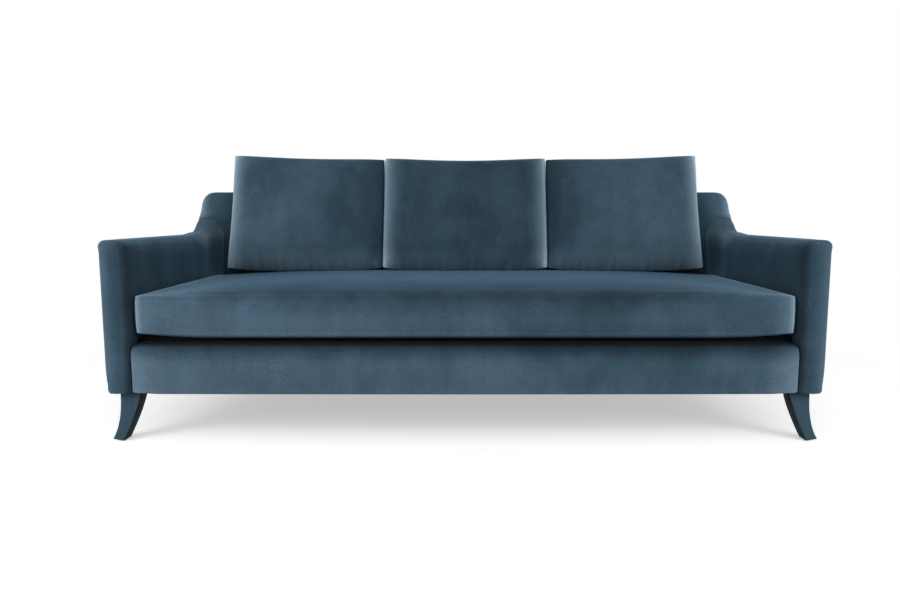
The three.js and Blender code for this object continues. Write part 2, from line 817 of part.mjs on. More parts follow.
// Seat cushion: plan outline with rounded corners, drawn in toward its edges and crowned on top
const seatHalfWidth = armInnerX - seatSideGap;
const seatFrontY = frontY + seatFrontInset;
const seatRearY = backFrontY(deckHeight) - seatRearGap;
const seatBottomZ = deckHeight + seamGap;
const seatEdgeTopZ = seatBottomZ + seatEndLift + seatEdgeThickness;
const seatTopZ = seatEdgeTopZ + seatCrown;

function swell(distance, reach) {
  return 1 - (1 - THREE.MathUtils.clamp(distance / reach, 0, 1)) ** 2;
}

function seatTop(x, y) {
  return seatEdgeTopZ + seatCrown * swell(seatHalfWidth - Math.abs(x), seatCrownReach)
    * swell(y - seatFrontY, seatCrownReach) * swell(seatRearY - y, seatRearCrownReach);
}

function seatBottom(x) {
  return seatBottomZ + seatEndLift * (1 - swell(seatHalfWidth - Math.abs(x), seatCrownReach));
}

function seatOutline(inset, columns, rows) {
  const x1 = seatHalfWidth - inset;
  const [y0, y1] = [seatFrontY + inset, seatRearY - inset];
  const radiusOf = (full) => Math.max(full - inset, full * leastRadiusShare);
  const front = radiusOf(seatFrontCornerRadius);
  const rear = radiusOf(seatRearCornerRadius);
  const spread = (from, to, count) => Array.from({ length: count - 1 }, (_, i) => (
    from + ((to - from) * (i + 1)) / count));
  return [
    ...spread(front - x1, x1 - front, columns).map((x) => [x, y0]),
    ...arc(x1 - front, y0 + front, front, front, -quarter, 0, smallCornerSegments),
    ...spread(y0 + front, y1 - rear, rows).map((y) => [x1, y]),
    ...arc(x1 - rear, y1 - rear, rear, rear, 0, quarter, smallCornerSegments),
    ...spread(x1 - rear, rear - x1, columns).map((x) => [x, y1]),
    ...arc(rear - x1, y1 - rear, rear, rear, quarter, 2 * quarter, smallCornerSegments),
    ...spread(y1 - rear, y0 + front, rows).map((y) => [-x1, y]),
    ...arc(front - x1, y0 + front, front, front, 2 * quarter, 3 * quarter, smallCornerSegments),
  ];
}

function seatForm(inset, columns, rows) {
  const rings = [];
  const reach = (seatRearY - seatFrontY) / 2 - inset;
  const ring = (depth, height) => seatOutline(inset + depth, columns, rows)
    .map(([x, y]) => new THREE.Vector3(x, y, height(x, y)));
  for (const share of seatBottomInsetShares) {
    rings.push(ring(seatBottomTuck * share * 4, (x) => seatBottom(x) + inset));
  }
  seatSideHeightShares.forEach((share, k) => {
    const depth = seatBottomTuck * seatSideTuckShares[k];
    const height = (x) => THREE.MathUtils.lerp(seatBottom(x) + inset, seatEdgeTopZ - inset, share);
    rings.push(ring(depth, height));
  });
  for (const share of seatTopInsetShares) {
    rings.push(ring(reach * share * (1 - leastRadiusShare / 4), (x, y) => seatTop(x, y) - inset));
  }
  return loft(rings);
}

// Back cushions: knife-edge pillows that lean on the back and stand on the seat cushion
const cushionFootY = backFrontY(seatTopZ) - cushionFootSetback;

function pillow(centre, width, inset, columns, rows) {
  const ease = (step) => Math.sin(step * quarter);
  const place = (i, j, face) => {
    const u = ease((2 * i) / columns - 1);
    const v = ease((2 * j) / rows - 1);
    const dip = (centre === 0 ? centreCushionTopDip : cushionTopDip) * (1 - u ** 2);
    const slope = centre === 0 ? centreCushionDrop : (cushionInnerDrop * (1 - u * Math.sign(centre))) / 2;
    const drop = (dip + slope) * Math.max(0, v) ** 2;
    const lift = cushionCornerLift * u ** 4 * Math.max(0, -v) ** 4;
    const across = u * (width / 2 - inset);
    const along = cushionHeight / 2 + v * (cushionHeight / 2 - inset) - drop + lift;
    const full = ((1 - u ** 4) * (1 - v ** 4)) ** loftPowerShare;
    const loftSize = (face > 0 ? cushionRearLoft : cushionFrontLoft) - inset;
    const out = face * full * loftSize;
    const z = seatTopZ + along * Math.cos(cushionLean) - out * Math.sin(cushionLean);
    const y = cushionFootY + along * Math.sin(cushionLean) + out * Math.cos(cushionLean);
    const restZ = Math.max(z, seatTopZ + seamGap + inset);
    return new THREE.Vector3(centre + across, Math.min(y, backFrontY(restZ) - seamGap - inset), restZ);
  };
  const points = [];
  const lookup = new Map();
  const pointAt = (i, j, face) => {
    const edge = i === 0 || j === 0 || i === columns || j === rows;
    const key = `${i} ${j} ${edge ? 0 : face}`;
    if (!lookup.has(key)) {
      lookup.set(key, points.length);
      points.push(place(i, j, edge ? 0 : face));
    }
    return lookup.get(key);
  };
  const faces = [];
  for (const face of [-1, 1]) {
    for (let i = 0; i < columns; i += 1) {
      for (let j = 0; j < rows; j += 1) {
        const [a, b] = [pointAt(i, j, face), pointAt(i + 1, j, face)];
        const [c, d] = [pointAt(i + 1, j + 1, face), pointAt(i, j + 1, face)];
        const pair = (i < columns / 2) === (j < rows / 2) ? [[a, b, c], [a, c, d]] : [[a, b, d], [b, c, d]];
        faces.push(...(face < 0 ? pair : pair.map(([p, q, r]) => [p, r, q])));
      }
    }
  }
  return solidFromFaces(points, faces);
}

// Slot for the zip at the foot of a back cushion, through the cover only
function backZipSlot(centre, width) {
  const slot = new THREE.BoxGeometry(width - 2 * backZipMargin, zipWidth, 4 * coverThickness);
  slot.rotateX(-cushionLean);
  slot.translate(centre, cushionFootY, seatTopZ);
  return solidOf(slot);
}

function seatZipSlot() {
  const z = (seatBottomZ + seatEdgeTopZ) / 2;
  const side = seatHalfWidth - seatZipMargin;
  return block(-side, side, seatRearY - 2 * coverThickness, seatRearY + overrun, z - zipWidth / 2,
    z + zipWidth / 2);
}

// Finishes
const finish = (color, roughness, metalness = 0) => new THREE.MeshStandardMaterial({ color, roughness, metalness });
const velvet = finish(0x46617a, 0.85);
const lining = finish(0x2b3a44, 0.95);
const foam = finish(0xe6dcc0, 0.95);
const timber = finish(0xc49a66, 0.7);
const paintedTimber = finish(0x3c5566, 0.45);
const springSteel = finish(0x8a8d90, 0.35, 1);
const zincSteel = finish(0xb8bcc0, 0.3, 1);
const nylon = finish(0x2a2a2c, 0.5);
const jute = finish(0xb59a6d, 0.95);
const cambric = finish(0x1c1c1e, 0.95);

const sofa = new THREE.Group();

function addPiece(name, solid, material) {
  const mesh = new THREE.Mesh(geometryOf(solid), material);
  mesh.name = name;
  sofa.add(mesh);
}

function addPair(name, solid, material) {
  addPiece(`right_${name}`, solid, material);
  addPiece(`left_${name}`, mirrored(solid), material);
}

addPiece('front_seat_rail', seatRail(frameFrontY, 1, clipY[0]), timber);
addPiece('rear_seat_rail', seatRail(rearSeatRailY, -1, clipY[1]), timber);
addPiece('rear_bottom_rail', rearBottomRail(), timber);
addPair('side_rail', sideRail(), timber);
addPiece('centre_stretcher', centreStretcher(), timber);
addPair('front_post', frontPost(), timber);
addPair('back_upright', backUpright(), timber);
addPair('arm_rail', armRail(), timber);
addPiece('back_top_rail', backTopRail(), timber);
addPiece('back_tuck_rail', backTuckRail(), timber);
addPiece('right_back_stile', backStile(1), timber);
addPiece('left_back_stile', backStile(-1), timber);
addPiece('back_webbing', backWebbing(), jute);
for (let i = 0; i < springCount; i += 1) {
  addPiece(`seat_spring_${i + 1}`, seatSpring(i), springSteel);
}
addPiece('seat_deck', seatDeck(), lining);
addPiece('dust_cover', dustCover(), cambric);
for (const [end, rear] of [['front', false], ['rear', true]]) {
  addPair(`${end}_leg_block`, legBlock(rear), timber);
  addPair(`${end}_leg`, legBody(rear), paintedTimber);
  addPair(`${end}_leg_bolt`, legBolt(rear), zincSteel);
  addPair(`${end}_glide`, glide(rear), nylon);
}
addPair('arm_pad', armPad(), velvet);
addPair('outside_arm', outsideArm(), velvet);
addPiece('inside_back', insideBack(), velvet);
addPiece('outside_back', outsideBack(), velvet);
addPiece('front_border', frontBorder(), velvet);

const seatCover = seatForm(0, coverColumns, coverRows / 2);
const seatRoom = seatForm(coverThickness, coreColumns, coreRows / 2);
addPiece('seat_cushion_cover', seatCover.subtract(seatRoom).subtract(seatZipSlot()), velvet);
addPiece('seat_cushion_core', seatForm(coverThickness + seamGap, coreColumns, coreRows / 2), foam);

const sideCushionWidth = (2 * (armInnerX - cushionSideGap - cushionGap) - centreCushionExtra) / 3;
const centreCushionWidth = sideCushionWidth + centreCushionExtra;
const cushionOffset = centreCushionWidth / 2 + cushionGap + sideCushionWidth / 2;
for (const [place, centre, width] of [
  ['left', -cushionOffset, sideCushionWidth],
  ['centre', 0, centreCushionWidth],
  ['right', cushionOffset, sideCushionWidth],
]) {
  const cover = pillow(centre, width, 0, coverColumns, coverRows);
  const room = pillow(centre, width, coverThickness, coreColumns, coreRows);
  const bag = cover.subtract(room).subtract(backZipSlot(centre, width));
  addPiece(`${place}_back_cushion_cover`, bag, velvet);
  const core = pillow(centre, width, coverThickness + seamGap, coreColumns, coreRows);
  addPiece(`${place}_back_cushion_core`, core, foam);
}

export default sofa;
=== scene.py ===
# %% [markdown]
# # A three-seat sofa in blue velvet, with scooped arms
# The sofa has level arms that sweep up into the back in one hollow curve, one long loose
# seat cushion, three loose back cushions without piping, and four painted sabre legs.
# The frame of the part is loaded first and stays as it is. Each cell after that makes one
# padded, sewn or turned piece and lays it over the solid that it dresses.

# %% Load the frame and keep its box
from math import asin, copysign, cos, dist, exp, hypot, pi, radians, sin, sqrt, tan
import bpy
import bmesh
import numpy as np
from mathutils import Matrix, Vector
from mathutils.bvhtree import BVHTree


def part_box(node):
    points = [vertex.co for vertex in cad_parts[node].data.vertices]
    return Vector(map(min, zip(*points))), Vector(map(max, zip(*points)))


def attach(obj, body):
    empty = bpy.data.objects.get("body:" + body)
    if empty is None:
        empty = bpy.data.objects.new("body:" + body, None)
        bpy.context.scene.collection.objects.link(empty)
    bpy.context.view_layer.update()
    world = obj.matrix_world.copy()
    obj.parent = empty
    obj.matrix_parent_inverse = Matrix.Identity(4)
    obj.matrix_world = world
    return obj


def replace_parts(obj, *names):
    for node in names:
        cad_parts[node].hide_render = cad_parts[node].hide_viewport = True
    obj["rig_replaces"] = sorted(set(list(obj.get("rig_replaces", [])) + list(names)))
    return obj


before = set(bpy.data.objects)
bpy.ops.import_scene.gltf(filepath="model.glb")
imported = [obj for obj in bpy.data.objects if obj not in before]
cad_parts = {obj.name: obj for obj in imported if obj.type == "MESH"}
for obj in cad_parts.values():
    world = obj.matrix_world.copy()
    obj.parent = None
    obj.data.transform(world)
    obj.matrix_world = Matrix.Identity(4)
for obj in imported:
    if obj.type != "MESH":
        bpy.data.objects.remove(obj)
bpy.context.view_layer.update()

# %% [markdown]
# ## Camera
# The picture was taken straight from the front, from a little above the back's height, with
# a fairly short lens, so the arms' insides show on both sides. One camera that fits the
# floor, the rail, the seat, the arms and the back at once stands 2.19 m in front of the
# front face and looks down by 7 degrees. The small shift moves the sofa 15 pixels to the right.

# %% Camera
picture_width, focal_pixels, shift_pixels, sensor_width = 900, 728.6, 15.1, 36
eye, looks_down = (0, -2.6626, 0.7193), 6.98


def add_object(name, data):
    """A new object in the scene."""
    made = bpy.data.objects.new(name, data)
    bpy.context.scene.collection.objects.link(made)
    return made


camera = add_object("camera", bpy.data.cameras.new("camera"))
bpy.context.scene.camera = camera
camera.data.sensor_width = sensor_width
camera.data.lens = sensor_width * focal_pixels / picture_width
camera.data.shift_x = -shift_pixels / picture_width
camera.location = eye
camera.rotation_euler = (radians(90 - looks_down), 0, 0)
print("lens", round(camera.data.lens, 2), "mm")

# %% [markdown]
# ## Stage
# A white floor that runs up into a white wall. Its brightness comes from its own colour for
# the eye of the camera and for reflections, so no extra light falls on the sofa, and the
# floor still takes the soft shadow under the seat. One helper makes every node of this
# script: it sets the node's choices, then gives each socket a value or another node's output.

# %% Floor and backdrop
def node(tree, kind, inputs=None, **choices):
    """A node with its choices; inputs gives a value or another node's output for each socket."""
    made = tree.nodes.new(kind)
    for label, value in choices.items():
        setattr(made, label, value)
    for socket, value in (inputs or {}).items():
        if isinstance(value, bpy.types.NodeSocket):
            tree.links.new(value, made.inputs[socket])
        else:
            made.inputs[socket].default_value = value
    return made


def maths(tree, operation, first, second):
    return node(tree, "ShaderNodeMath", {0: first, 1: second}, operation=operation).outputs[0]


def smooth_range(tree, value, low, high, to_low=0.0, to_high=1.0):
    """The value, eased from one range to another."""
    ends = {"From Min": low, "From Max": high, "To Min": to_low, "To Max": to_high}
    return node(tree, "ShaderNodeMapRange", {"Value": value, **ends}, interpolation_type="SMOOTHSTEP").outputs[0]


def seen_ray(tree):
    """1 where the camera, a reflection or a see-through ray looks, else 0."""
    path = node(tree, "ShaderNodeLightPath").outputs
    either = maths(tree, "MAXIMUM", path["Is Camera Ray"], path["Is Glossy Ray"])
    return maths(tree, "MAXIMUM", either, path["Is Transmission Ray"])


def new_material(name, surface):
    """A material that shows the shader which surface(tree, place) gives."""
    material = bpy.data.materials.new(name)
    material.use_nodes = True
    tree = material.node_tree
    tree.nodes.clear()
    place = node(tree, "ShaderNodeTexCoord").outputs["Object"]
    node(tree, "ShaderNodeOutputMaterial", {0: surface(tree, place)})
    return material


def stage_white(tree, place):
    """Plain white to the lamps; to the eye a shadow on pale ground near the sofa, pure white beyond."""
    white_to_lamps, pale_ground, ground_glow, near_edge, far_edge = 0.8, 0.95, 0.44, 1.5, 2.4
    plain, ground = (node(tree, "ShaderNodeBsdfDiffuse", {0: (grey, grey, grey, 1)}).outputs[0]
                     for grey in (white_to_lamps, pale_ground))
    glow, white = (node(tree, "ShaderNodeEmission", {1: strength}).outputs[0]
                   for strength in (ground_glow, 1.0))
    near = node(tree, "ShaderNodeAddShader", {0: ground, 1: glow}).outputs[0]
    distance = node(tree, "ShaderNodeVectorMath", {0: place}, operation="LENGTH").outputs["Value"]
    beyond = smooth_range(tree, distance, near_edge, far_edge)
    seen = node(tree, "ShaderNodeMixShader", {0: beyond, 1: near, 2: white}).outputs[0]
    return node(tree, "ShaderNodeMixShader", {0: seen_ray(tree), 1: plain, 2: seen}).outputs[0]


def stage_sweep():
    """Floor and wall in one sheet, with a round corner behind the sofa."""
    floor_front, wall, corner, wall_top, half, turns = -6.0, 5.0, 1.5, 6.0, 9.0, 12
    profile = [(floor_front, 0.0), (wall - corner, 0.0)]
    for angle in (pi / 2 * i / turns for i in range(1, turns + 1)):
        profile.append((wall - corner + corner * sin(angle), corner - corner * cos(angle)))
    profile.append((wall, wall_top))
    mesh = bpy.data.meshes.new("stage_sweep")
    mesh.from_pydata([(x, y, z) for y, z in profile for x in (-half, half)], [],
                     [(2 * i, 2 * i + 1, 2 * i + 3, 2 * i + 2) for i in range(len(profile) - 1)])
    mesh.materials.append(new_material("stage_white", stage_white))
    mesh.shade_smooth()
    add_object("stage_sweep", mesh)


stage_sweep()
print("stage ready")

# %% [markdown]
# ## Light
# Velvet shows its pile at the edges, so the light is wide and soft: a lamp low on each side
# of the camera, a large one above it, one behind the sofa, and an even pale world.

# %% Lamps and world
def soft_lamp(name, place, aim, size, watts):
    """A square lamp that looks at a point."""
    lamp = add_object(name, bpy.data.lights.new(name, "AREA"))
    lamp.data.energy, lamp.data.size = watts, size
    lamp.location, lamp.visible_camera = place, False
    lamp.rotation_euler = (Vector(aim) - Vector(place)).to_track_quat("-Z", "Y").to_euler()


def pale_world(strength):
    """White where it is seen, plain soft light on the sofa."""
    world = bpy.data.worlds.new("pale_world")
    bpy.context.scene.world = world
    world.use_nodes = True
    tree = world.node_tree
    pick = node(tree, "ShaderNodeMix", {0: seen_ray(tree), 2: strength, 3: 1.0})
    background = tree.nodes["Background"]
    background.inputs["Color"].default_value = (1, 1, 1, 1)
    tree.links.new(pick.outputs[0], background.inputs["Strength"])


for name, place, aim, size, watts in (("left_lamp", (-2.25, -1.9, 1.0), (-0.5, 0, 0.45), 1.3, 30),
                                      ("right_lamp", (2.25, -1.9, 1.0), (0.5, 0, 0.45), 1.3, 27),
                                      ("high_lamp", (0, -2.6, 3.2), (0, 0, 0.4), 2.6, 22),
                                      ("rear_lamp", (0, 3.4, 2.2), (0, 0.4, 0.4), 2.6, 24)):
    soft_lamp(name, place, aim, size, watts)
pale_world(0.36)
bpy.context.scene.view_settings.view_transform = "Standard"
print("lamps ready")

# %% [markdown]
# ## Finishes that several pieces share
# Velvet is short pile on a woven back. Where a hand has brushed it the pile lies another
# way and looks lighter or darker, in soft clouds a hand wide. The clouds and the fine
# pile, the threads of a weave, the grain of wood and the scuffs of hard things are built
# once, as shader groups, and each finish takes its own amounts.

# %% Shader groups
def shader_group(name, numbers, build):
    """A group with a Vector and named numbers, which gives out what build(tree, vector, given) makes."""
    tree = bpy.data.node_groups.new(name, "ShaderNodeTree")
    tree.interface.new_socket("Vector", in_out="INPUT", socket_type="NodeSocketVector")
    for label, value in numbers.items():
        tree.interface.new_socket(label, in_out="INPUT", socket_type="NodeSocketFloat").default_value = value
    given = node(tree, "NodeGroupInput").outputs
    made = build(tree, given["Vector"], given)
    for label in made:
        tree.interface.new_socket(label, in_out="OUTPUT", socket_type="NodeSocketFloat")
    node(tree, "NodeGroupOutput", made)
    return tree


def noise(tree, vector, scale, detail=2.0, rough=0.5):
    return node(tree, "ShaderNodeTexNoise", {"Vector": vector, "Scale": scale, "Detail": detail,
                                             "Roughness": rough}).outputs["Fac"]


def stretch(tree, vector, scale, turn=(0, 0, 0)):
    return node(tree, "ShaderNodeMapping", {"Vector": vector, "Scale": scale, "Rotation": turn}).outputs[0]


def weighted(tree, first, share, second, other_share):
    """The sum of two values, each times its share."""
    return maths(tree, "ADD", maths(tree, "MULTIPLY", first, share),
                 maths(tree, "MULTIPLY", second, other_share))


def nap(tree, vector, given):
    """Clouds where the pile was brushed, streaks down the cloth, and the fine grain of the pile."""
    wide = noise(tree, stretch(tree, vector, (1, 1, 0.8)), given["Cloud Scale"], 3.0, 0.55)
    streaks = noise(tree, stretch(tree, vector, (1, 1, 0.5)), 26.0)
    fine, coarse = (noise(tree, vector, scale, 1.0) for scale in (given["Pile Scale"], 300.0))
    pile = weighted(tree, fine, 0.5, coarse, 0.5)
    return {"Clouds": smooth_range(tree, weighted(tree, wide, 0.76, streaks, 0.24), 0.3, 0.72),
            "Pile": pile, "Height": weighted(tree, pile, 0.5, streaks, 0.5)}


def weave(tree, vector, given):
    """Plain weave: two sets of threads over and under, with a little wander."""
    parts = node(tree, "ShaderNodeSeparateXYZ", {0: vector}).outputs
    wander = maths(tree, "MULTIPLY", noise(tree, vector, 40.0), 1.2)
    waves = []
    for axis in (0, 1):
        along = maths(tree, "MULTIPLY", maths(tree, "ADD", parts[axis], parts[2]), given["Thread Scale"])
        waves.append(maths(tree, "SINE", maths(tree, "ADD", along, wander), 0.0))
    fuzz = noise(tree, vector, 700.0, 2.0, 0.6)
    height = weighted(tree, maths(tree, "MULTIPLY", *waves), 0.35, fuzz, 1.0)
    return {"Threads": smooth_range(tree, height, 0.1, 0.9), "Height": height}


def grain(tree, vector, given):
    """Wood grain along the local X of its vector: long streaks, pores and soft figure."""
    streaks = noise(tree, stretch(tree, vector, (3, 90, 90)), 1.0, 4.0, 0.6)
    figure = noise(tree, stretch(tree, vector, (0.25, 1, 1)), given["Figure"])
    pores = noise(tree, stretch(tree, vector, (60, 900, 900)), 1.0, 1.0)
    return {"Grain": smooth_range(tree, weighted(tree, streaks, 0.65, figure, 0.35), 0.3, 0.7),
            "Height": weighted(tree, streaks, 0.6, pores, 0.4)}


def scuffs(tree, vector, given):
    """Fine scratches and dull patches on something hard."""
    patches = noise(tree, vector, given["Scuff Scale"], 4.0, 0.6)
    both = weighted(tree, patches, 0.7, noise(tree, stretch(tree, vector, (40, 900, 500)), 1.0), 0.3)
    return {"Scuffs": smooth_range(tree, both, 0.35, 0.7), "Height": both}


brushed_nap = shader_group("brushed_nap", {"Cloud Scale": 7.0, "Pile Scale": 900.0}, nap)
woven_threads = shader_group("woven_threads", {"Thread Scale": 600.0}, weave)
wood_grain = shader_group("wood_grain", {"Figure": 9.0}, grain)
fine_scuffs = shader_group("fine_scuffs", {"Scuff Scale": 60.0}, scuffs)
print("groups:", brushed_nap.name, woven_threads.name, wood_grain.name, fine_scuffs.name)

# %% [markdown]
# ## Velvet
# The colour is a dark slate blue with some green in it. Light and shade are painted into the
# cloth: painted highlights along edges, rims and ends, and painted shade, near black, on faces
# that turn away from the lamps, in gaps and inside the arms. Each piece carries this as a number
# at every point, its painted light: 0 is the plain cloth, 1 the palest painted highlight and -1
# the deepest painted shade. The sheen on top stands for the tips of the pile. A darker copy of
# the velvet without sheen is painted shade in the gaps.

# %% Velvet and its painted light and shade
# Screen levels of the plain cloth, the palest painted highlight and the deepest painted shade.
plain_level, painted_highlight_level, painted_shade_level = 76.0, 200.0, 12.0


def screen_to_linear(level):
    return ((level / 255 + 0.055) / 1.055) ** 2.4


def srgb(red, green, blue):
    """A colour written as screen values, 0 to 255, for a shader."""
    return (*(screen_to_linear(value) for value in (red, green, blue)), 1.0)


# Colours of the painted highlight and the painted shade.
painted_highlight, painted_shade = srgb(178, 204, 222), srgb(10, 14, 15)


def painted_light_from_level(level):
    """The painted light at which the cloth shows a screen level."""
    linear, plain, pale, deep = map(screen_to_linear, (level, plain_level, painted_highlight_level, painted_shade_level))
    return np.where(linear > plain, (linear - plain) / (pale - plain), (linear - plain) / (plain - deep))


def paint_light(piece, level):
    """Stores painted light and shade at each point; level is a screen level, or gives it from places in mm and
    normals.
    """
    mesh = piece.data
    places, normals = np.empty(3 * len(mesh.vertices)), np.empty(3 * len(mesh.vertices))
    mesh.vertices.foreach_get("co", places)
    mesh.vertex_normals.foreach_get("vector", normals)
    x, y, z = places.reshape(-1, 3).T * 1000
    levels = (level(x, y, z, *normals.reshape(-1, 3).T) if callable(level) else level) + 0 * x
    tone = mesh.attributes.new("tone", "FLOAT", "POINT")
    tone.data.foreach_set("value", painted_light_from_level(levels).astype(np.float32))
    return piece


def mix_colour(tree, amount, first, second, blend="MIX"):
    return node(tree, "ShaderNodeMix", {0: amount, 6: first, 7: second}, data_type="RGBA",
                blend_type=blend).outputs[2]


def colour_with_painted_light(tree, plain, pale=painted_highlight):
    """The plain colour, moved toward the painted highlight or the painted shade by the painted light that the piece
    carries.
    """
    tone = node(tree, "ShaderNodeAttribute", attribute_name="tone").outputs["Fac"]
    above, below = (node(tree, "ShaderNodeClamp", {"Value": value}).outputs[0]
                    for value in (tone, maths(tree, "MULTIPLY", tone, -1.0)))
    return mix_colour(tree, below, mix_colour(tree, above, plain, pale), painted_shade)


def spaced(values):
    return {label.replace("_", " "): value for label, value in values.items()}


def pattern(tree, group, vector, **numbers):
    """The outputs of a shader group that is placed in a material."""
    return node(tree, "ShaderNodeGroup", {"Vector": vector, **spaced(numbers)}, node_tree=group).outputs


def finish(name, make, bump=None, **values):
    """A material: make(tree, place) gives colour, roughness and height, and bump its strength and depth."""
    def surface(tree, place):
        colour, rough, height = make(tree, place)
        inputs = {"Base Color": colour, "Roughness": rough, **spaced(values)}
        if bump:
            inputs["Normal"] = node(tree, "ShaderNodeBump", {"Strength": bump[0], "Distance": bump[1],
                                                             "Height": height}).outputs[0]
        return node(tree, "ShaderNodeBsdfPrincipled", inputs).outputs[0]
    return new_material(name, surface)


def velvet_finish(name, dark, light, pale=painted_highlight, sheen=0.4):
    def make(tree, place):
        pile = pattern(tree, brushed_nap, place, Cloud_Scale=5.0)
        cloth = colour_with_painted_light(tree, mix_colour(tree, pile["Clouds"], dark, light), pale)
        speck = smooth_range(tree, pile["Pile"], 0.3, 0.7, 0.74, 1.24)
        shade = node(tree, "ShaderNodeCombineColor", {0: speck, 1: speck, 2: speck}).outputs[0]
        return (mix_colour(tree, 1.0, cloth, shade, "MULTIPLY"),
                smooth_range(tree, pile["Clouds"], 0.0, 1.0, 0.96, 0.84), pile["Height"])
    return finish(name, make, (0.25, 0.0012), Specular_IOR_Level=0.12, Sheen_Weight=sheen, Sheen_Roughness=0.4,
                  Sheen_Tint=srgb(128, 174, 208))


velvet = velvet_finish("velvet", srgb(49, 70, 84), srgb(67, 92, 110))
# A darker copy of the velvet without sheen: painted shade for the gaps under the seat cushion.
velvet_in_painted_shade = velvet_finish("velvet_in_painted_shade", srgb(30, 42, 50), srgb(36, 50, 60), srgb(90, 110, 124), 0.0)
print("velvet ready")

# %% [markdown]
# ## The sofa's main sizes
# The same numbers, in millimetres, that the frame is built from: the planes of the back lean
# 11 degrees in front and 4 degrees behind, and the scoop is an arc of 160 mm radius that
# starts where the level arm ends. Every padded piece below is drawn from them.

# %% Sizes, planes and the scoop's arc
MM, quarter = 0.001, pi / 2
half_width, front_y, rear_y = 1107.0, -475.0, 475.0
underside, back_height, arm_height, arm_inner_x = 161.0, 795.0, 628.0, 1022.6
back_top_thickness, back_top_rear_radius, rake, rear_rake = 98.0, 15.0, radians(11), radians(4)
scoop_radius, scoop_run = 160.0, 116.0
deck_height, border_top = 330.0, 319.0
panel_top, side_panel_top, reveal, riser_setback = 745.0, 730.0, 22.0, 36.0


def back_front(z):
    return rear_y - back_top_thickness - (back_height - z) * tan(rake)


def back_rear(z):
    return rear_y - (back_height - back_top_rear_radius - z) * tan(rear_rake)


scoop_start, scoop_centre = back_front(arm_height) - scoop_run, arm_height + scoop_radius


def scoop_angle(radius, setback):
    """Angle along an arc about the scoop's centre where it meets the back's front plane."""
    reach = scoop_run + setback + scoop_radius * tan(rake)
    return asin(min(1.0, reach * cos(rake) / radius)) - rake


scoop_end = scoop_angle(scoop_radius, 0)
scoop_end_z = scoop_centre - scoop_radius * cos(scoop_end)
print("scoop from y", round(scoop_start), "to z", round(scoop_end_z))

# %% [markdown]
# ## A skin through rings
# An upholstered edge changes its section all along its length, which suits a skin drawn
# through rings of points better than a swept curve: each ring can have its own rounding,
# and the ends close with rings that shrink to a seam.

# %% Helpers for shapes
def unit(value):
    """The value, or each value of an array, held between 0 and 1."""
    return np.clip(value, 0, 1)


def smooth_step(t):
    t = unit(t)
    return t * t * (3 - 2 * t)


def fade(distance, reach, power=2.0):
    """1 at an edge, falling to 0 at a reach from it."""
    return unit(1 - np.maximum(distance, 0) / reach) ** power


def round_in(radius, distance):
    """How far a rounded edge falls back at a distance from the face it rounds into."""
    if distance >= radius:
        return 0.0
    return radius - sqrt(max(0.0, radius ** 2 - (radius - distance) ** 2))


def arc_points(cu, cv, radius, start, stop, count):
    """Points on an arc; the radius may be a pair."""
    ru, rv = radius if isinstance(radius, tuple) else (radius, radius)
    return [(cu + ru * cos(a), cv + rv * sin(a)) for a in np.linspace(start, stop, count)]


def line_points(p, q, count):
    """Points between two corners, without the corners themselves."""
    return [(p[0] + (q[0] - p[0]) * t, p[1] + (q[1] - p[1]) * t) for t in np.linspace(0, 1, count + 2)[1:-1]]


def both_sides(right):
    """The points of the right side, then their mirror images back again."""
    return right, [(-x, y) for x, y in reversed(right)]


print("shape helpers ready")

# %% [markdown]
# ## From points to a piece
# Points in millimetres become a mesh in metres whose faces all point out. A left piece is
# the right one turned over. Each piece is told which body it moves with and which solid of
# the frame it stands for.

# %% Helpers for pieces
def edit(mesh, change):
    """One change to a mesh's faces and points."""
    shell = bmesh.new()
    shell.from_mesh(mesh)
    change(shell)
    shell.to_mesh(mesh)
    shell.free()


def closed_shell(shell):
    bmesh.ops.remove_doubles(shell, verts=shell.verts, dist=0.00002)
    many_sided = [face for face in shell.faces if len(face.verts) > 4]
    bmesh.ops.triangulate(shell, faces=many_sided, ngon_method="EAR_CLIP")
    bmesh.ops.recalc_face_normals(shell, faces=shell.faces)
    if shell.calc_volume(signed=True) < 0:
        bmesh.ops.reverse_faces(shell, faces=shell.faces)


def piece_from(name, verts, faces, material):
    """A smooth mesh piece in metres, from points in millimetres, with its faces pointing out."""
    mesh = bpy.data.meshes.new(name)
    mesh.from_pydata([tuple(float(c) * MM for c in v) for v in verts], [], faces)
    edit(mesh, closed_shell)
    mesh.materials.append(material)
    mesh.shade_smooth()
    return add_object(name, mesh)


def end_faces(count, start, strips_from):
    """Faces that fill a ring: one polygon, or strips across it that start beside a given point."""
    if strips_from is None:
        return [tuple(start + i for i in range(count))]
    point = lambda i: start + (strips_from + i) % count
    strips = [(point(k), point(k + 1), point(-2 - k), point(-1 - k)) for k in range((count - 2) // 2)]
    k = count // 2
    return strips + ([(point(k - 1), point(k), point(k + 1))] if count % 2 else [])


def skin(name, rings, material, strips_from=None):
    """A closed skin through rings of equal count, its two ends filled."""
    count = len(rings[0])
    last = (len(rings) - 1) * count
    faces = [(k + i, k + (i + 1) % count, k + count + (i + 1) % count, k + count + i)
             for k in range(0, last, count) for i in range(count)]
    faces += end_faces(count, 0, strips_from) + end_faces(count, last, strips_from)
    return piece_from(name, [point for ring in rings for point in ring], faces, material)


def mirrored(piece, name):
    """The same piece on the other side of the middle, its faces turned to point out again."""
    copy = piece.copy()
    copy.data = piece.data.copy()
    copy.name = copy.data.name = name
    if "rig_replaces" in copy:
        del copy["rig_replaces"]
    bpy.context.scene.collection.objects.link(copy)

    def turn_over(shell):
        for v in shell.verts:
            v.co.x = -v.co.x
        bmesh.ops.reverse_faces(shell, faces=shell.faces)
    edit(copy.data, turn_over)
    return copy


def second_finish(piece, material, where):
    """Another finish on the faces that where(face) picks."""
    piece.data.materials.append(material)
    for face in piece.data.polygons:
        face.material_index = int(bool(where(face)))


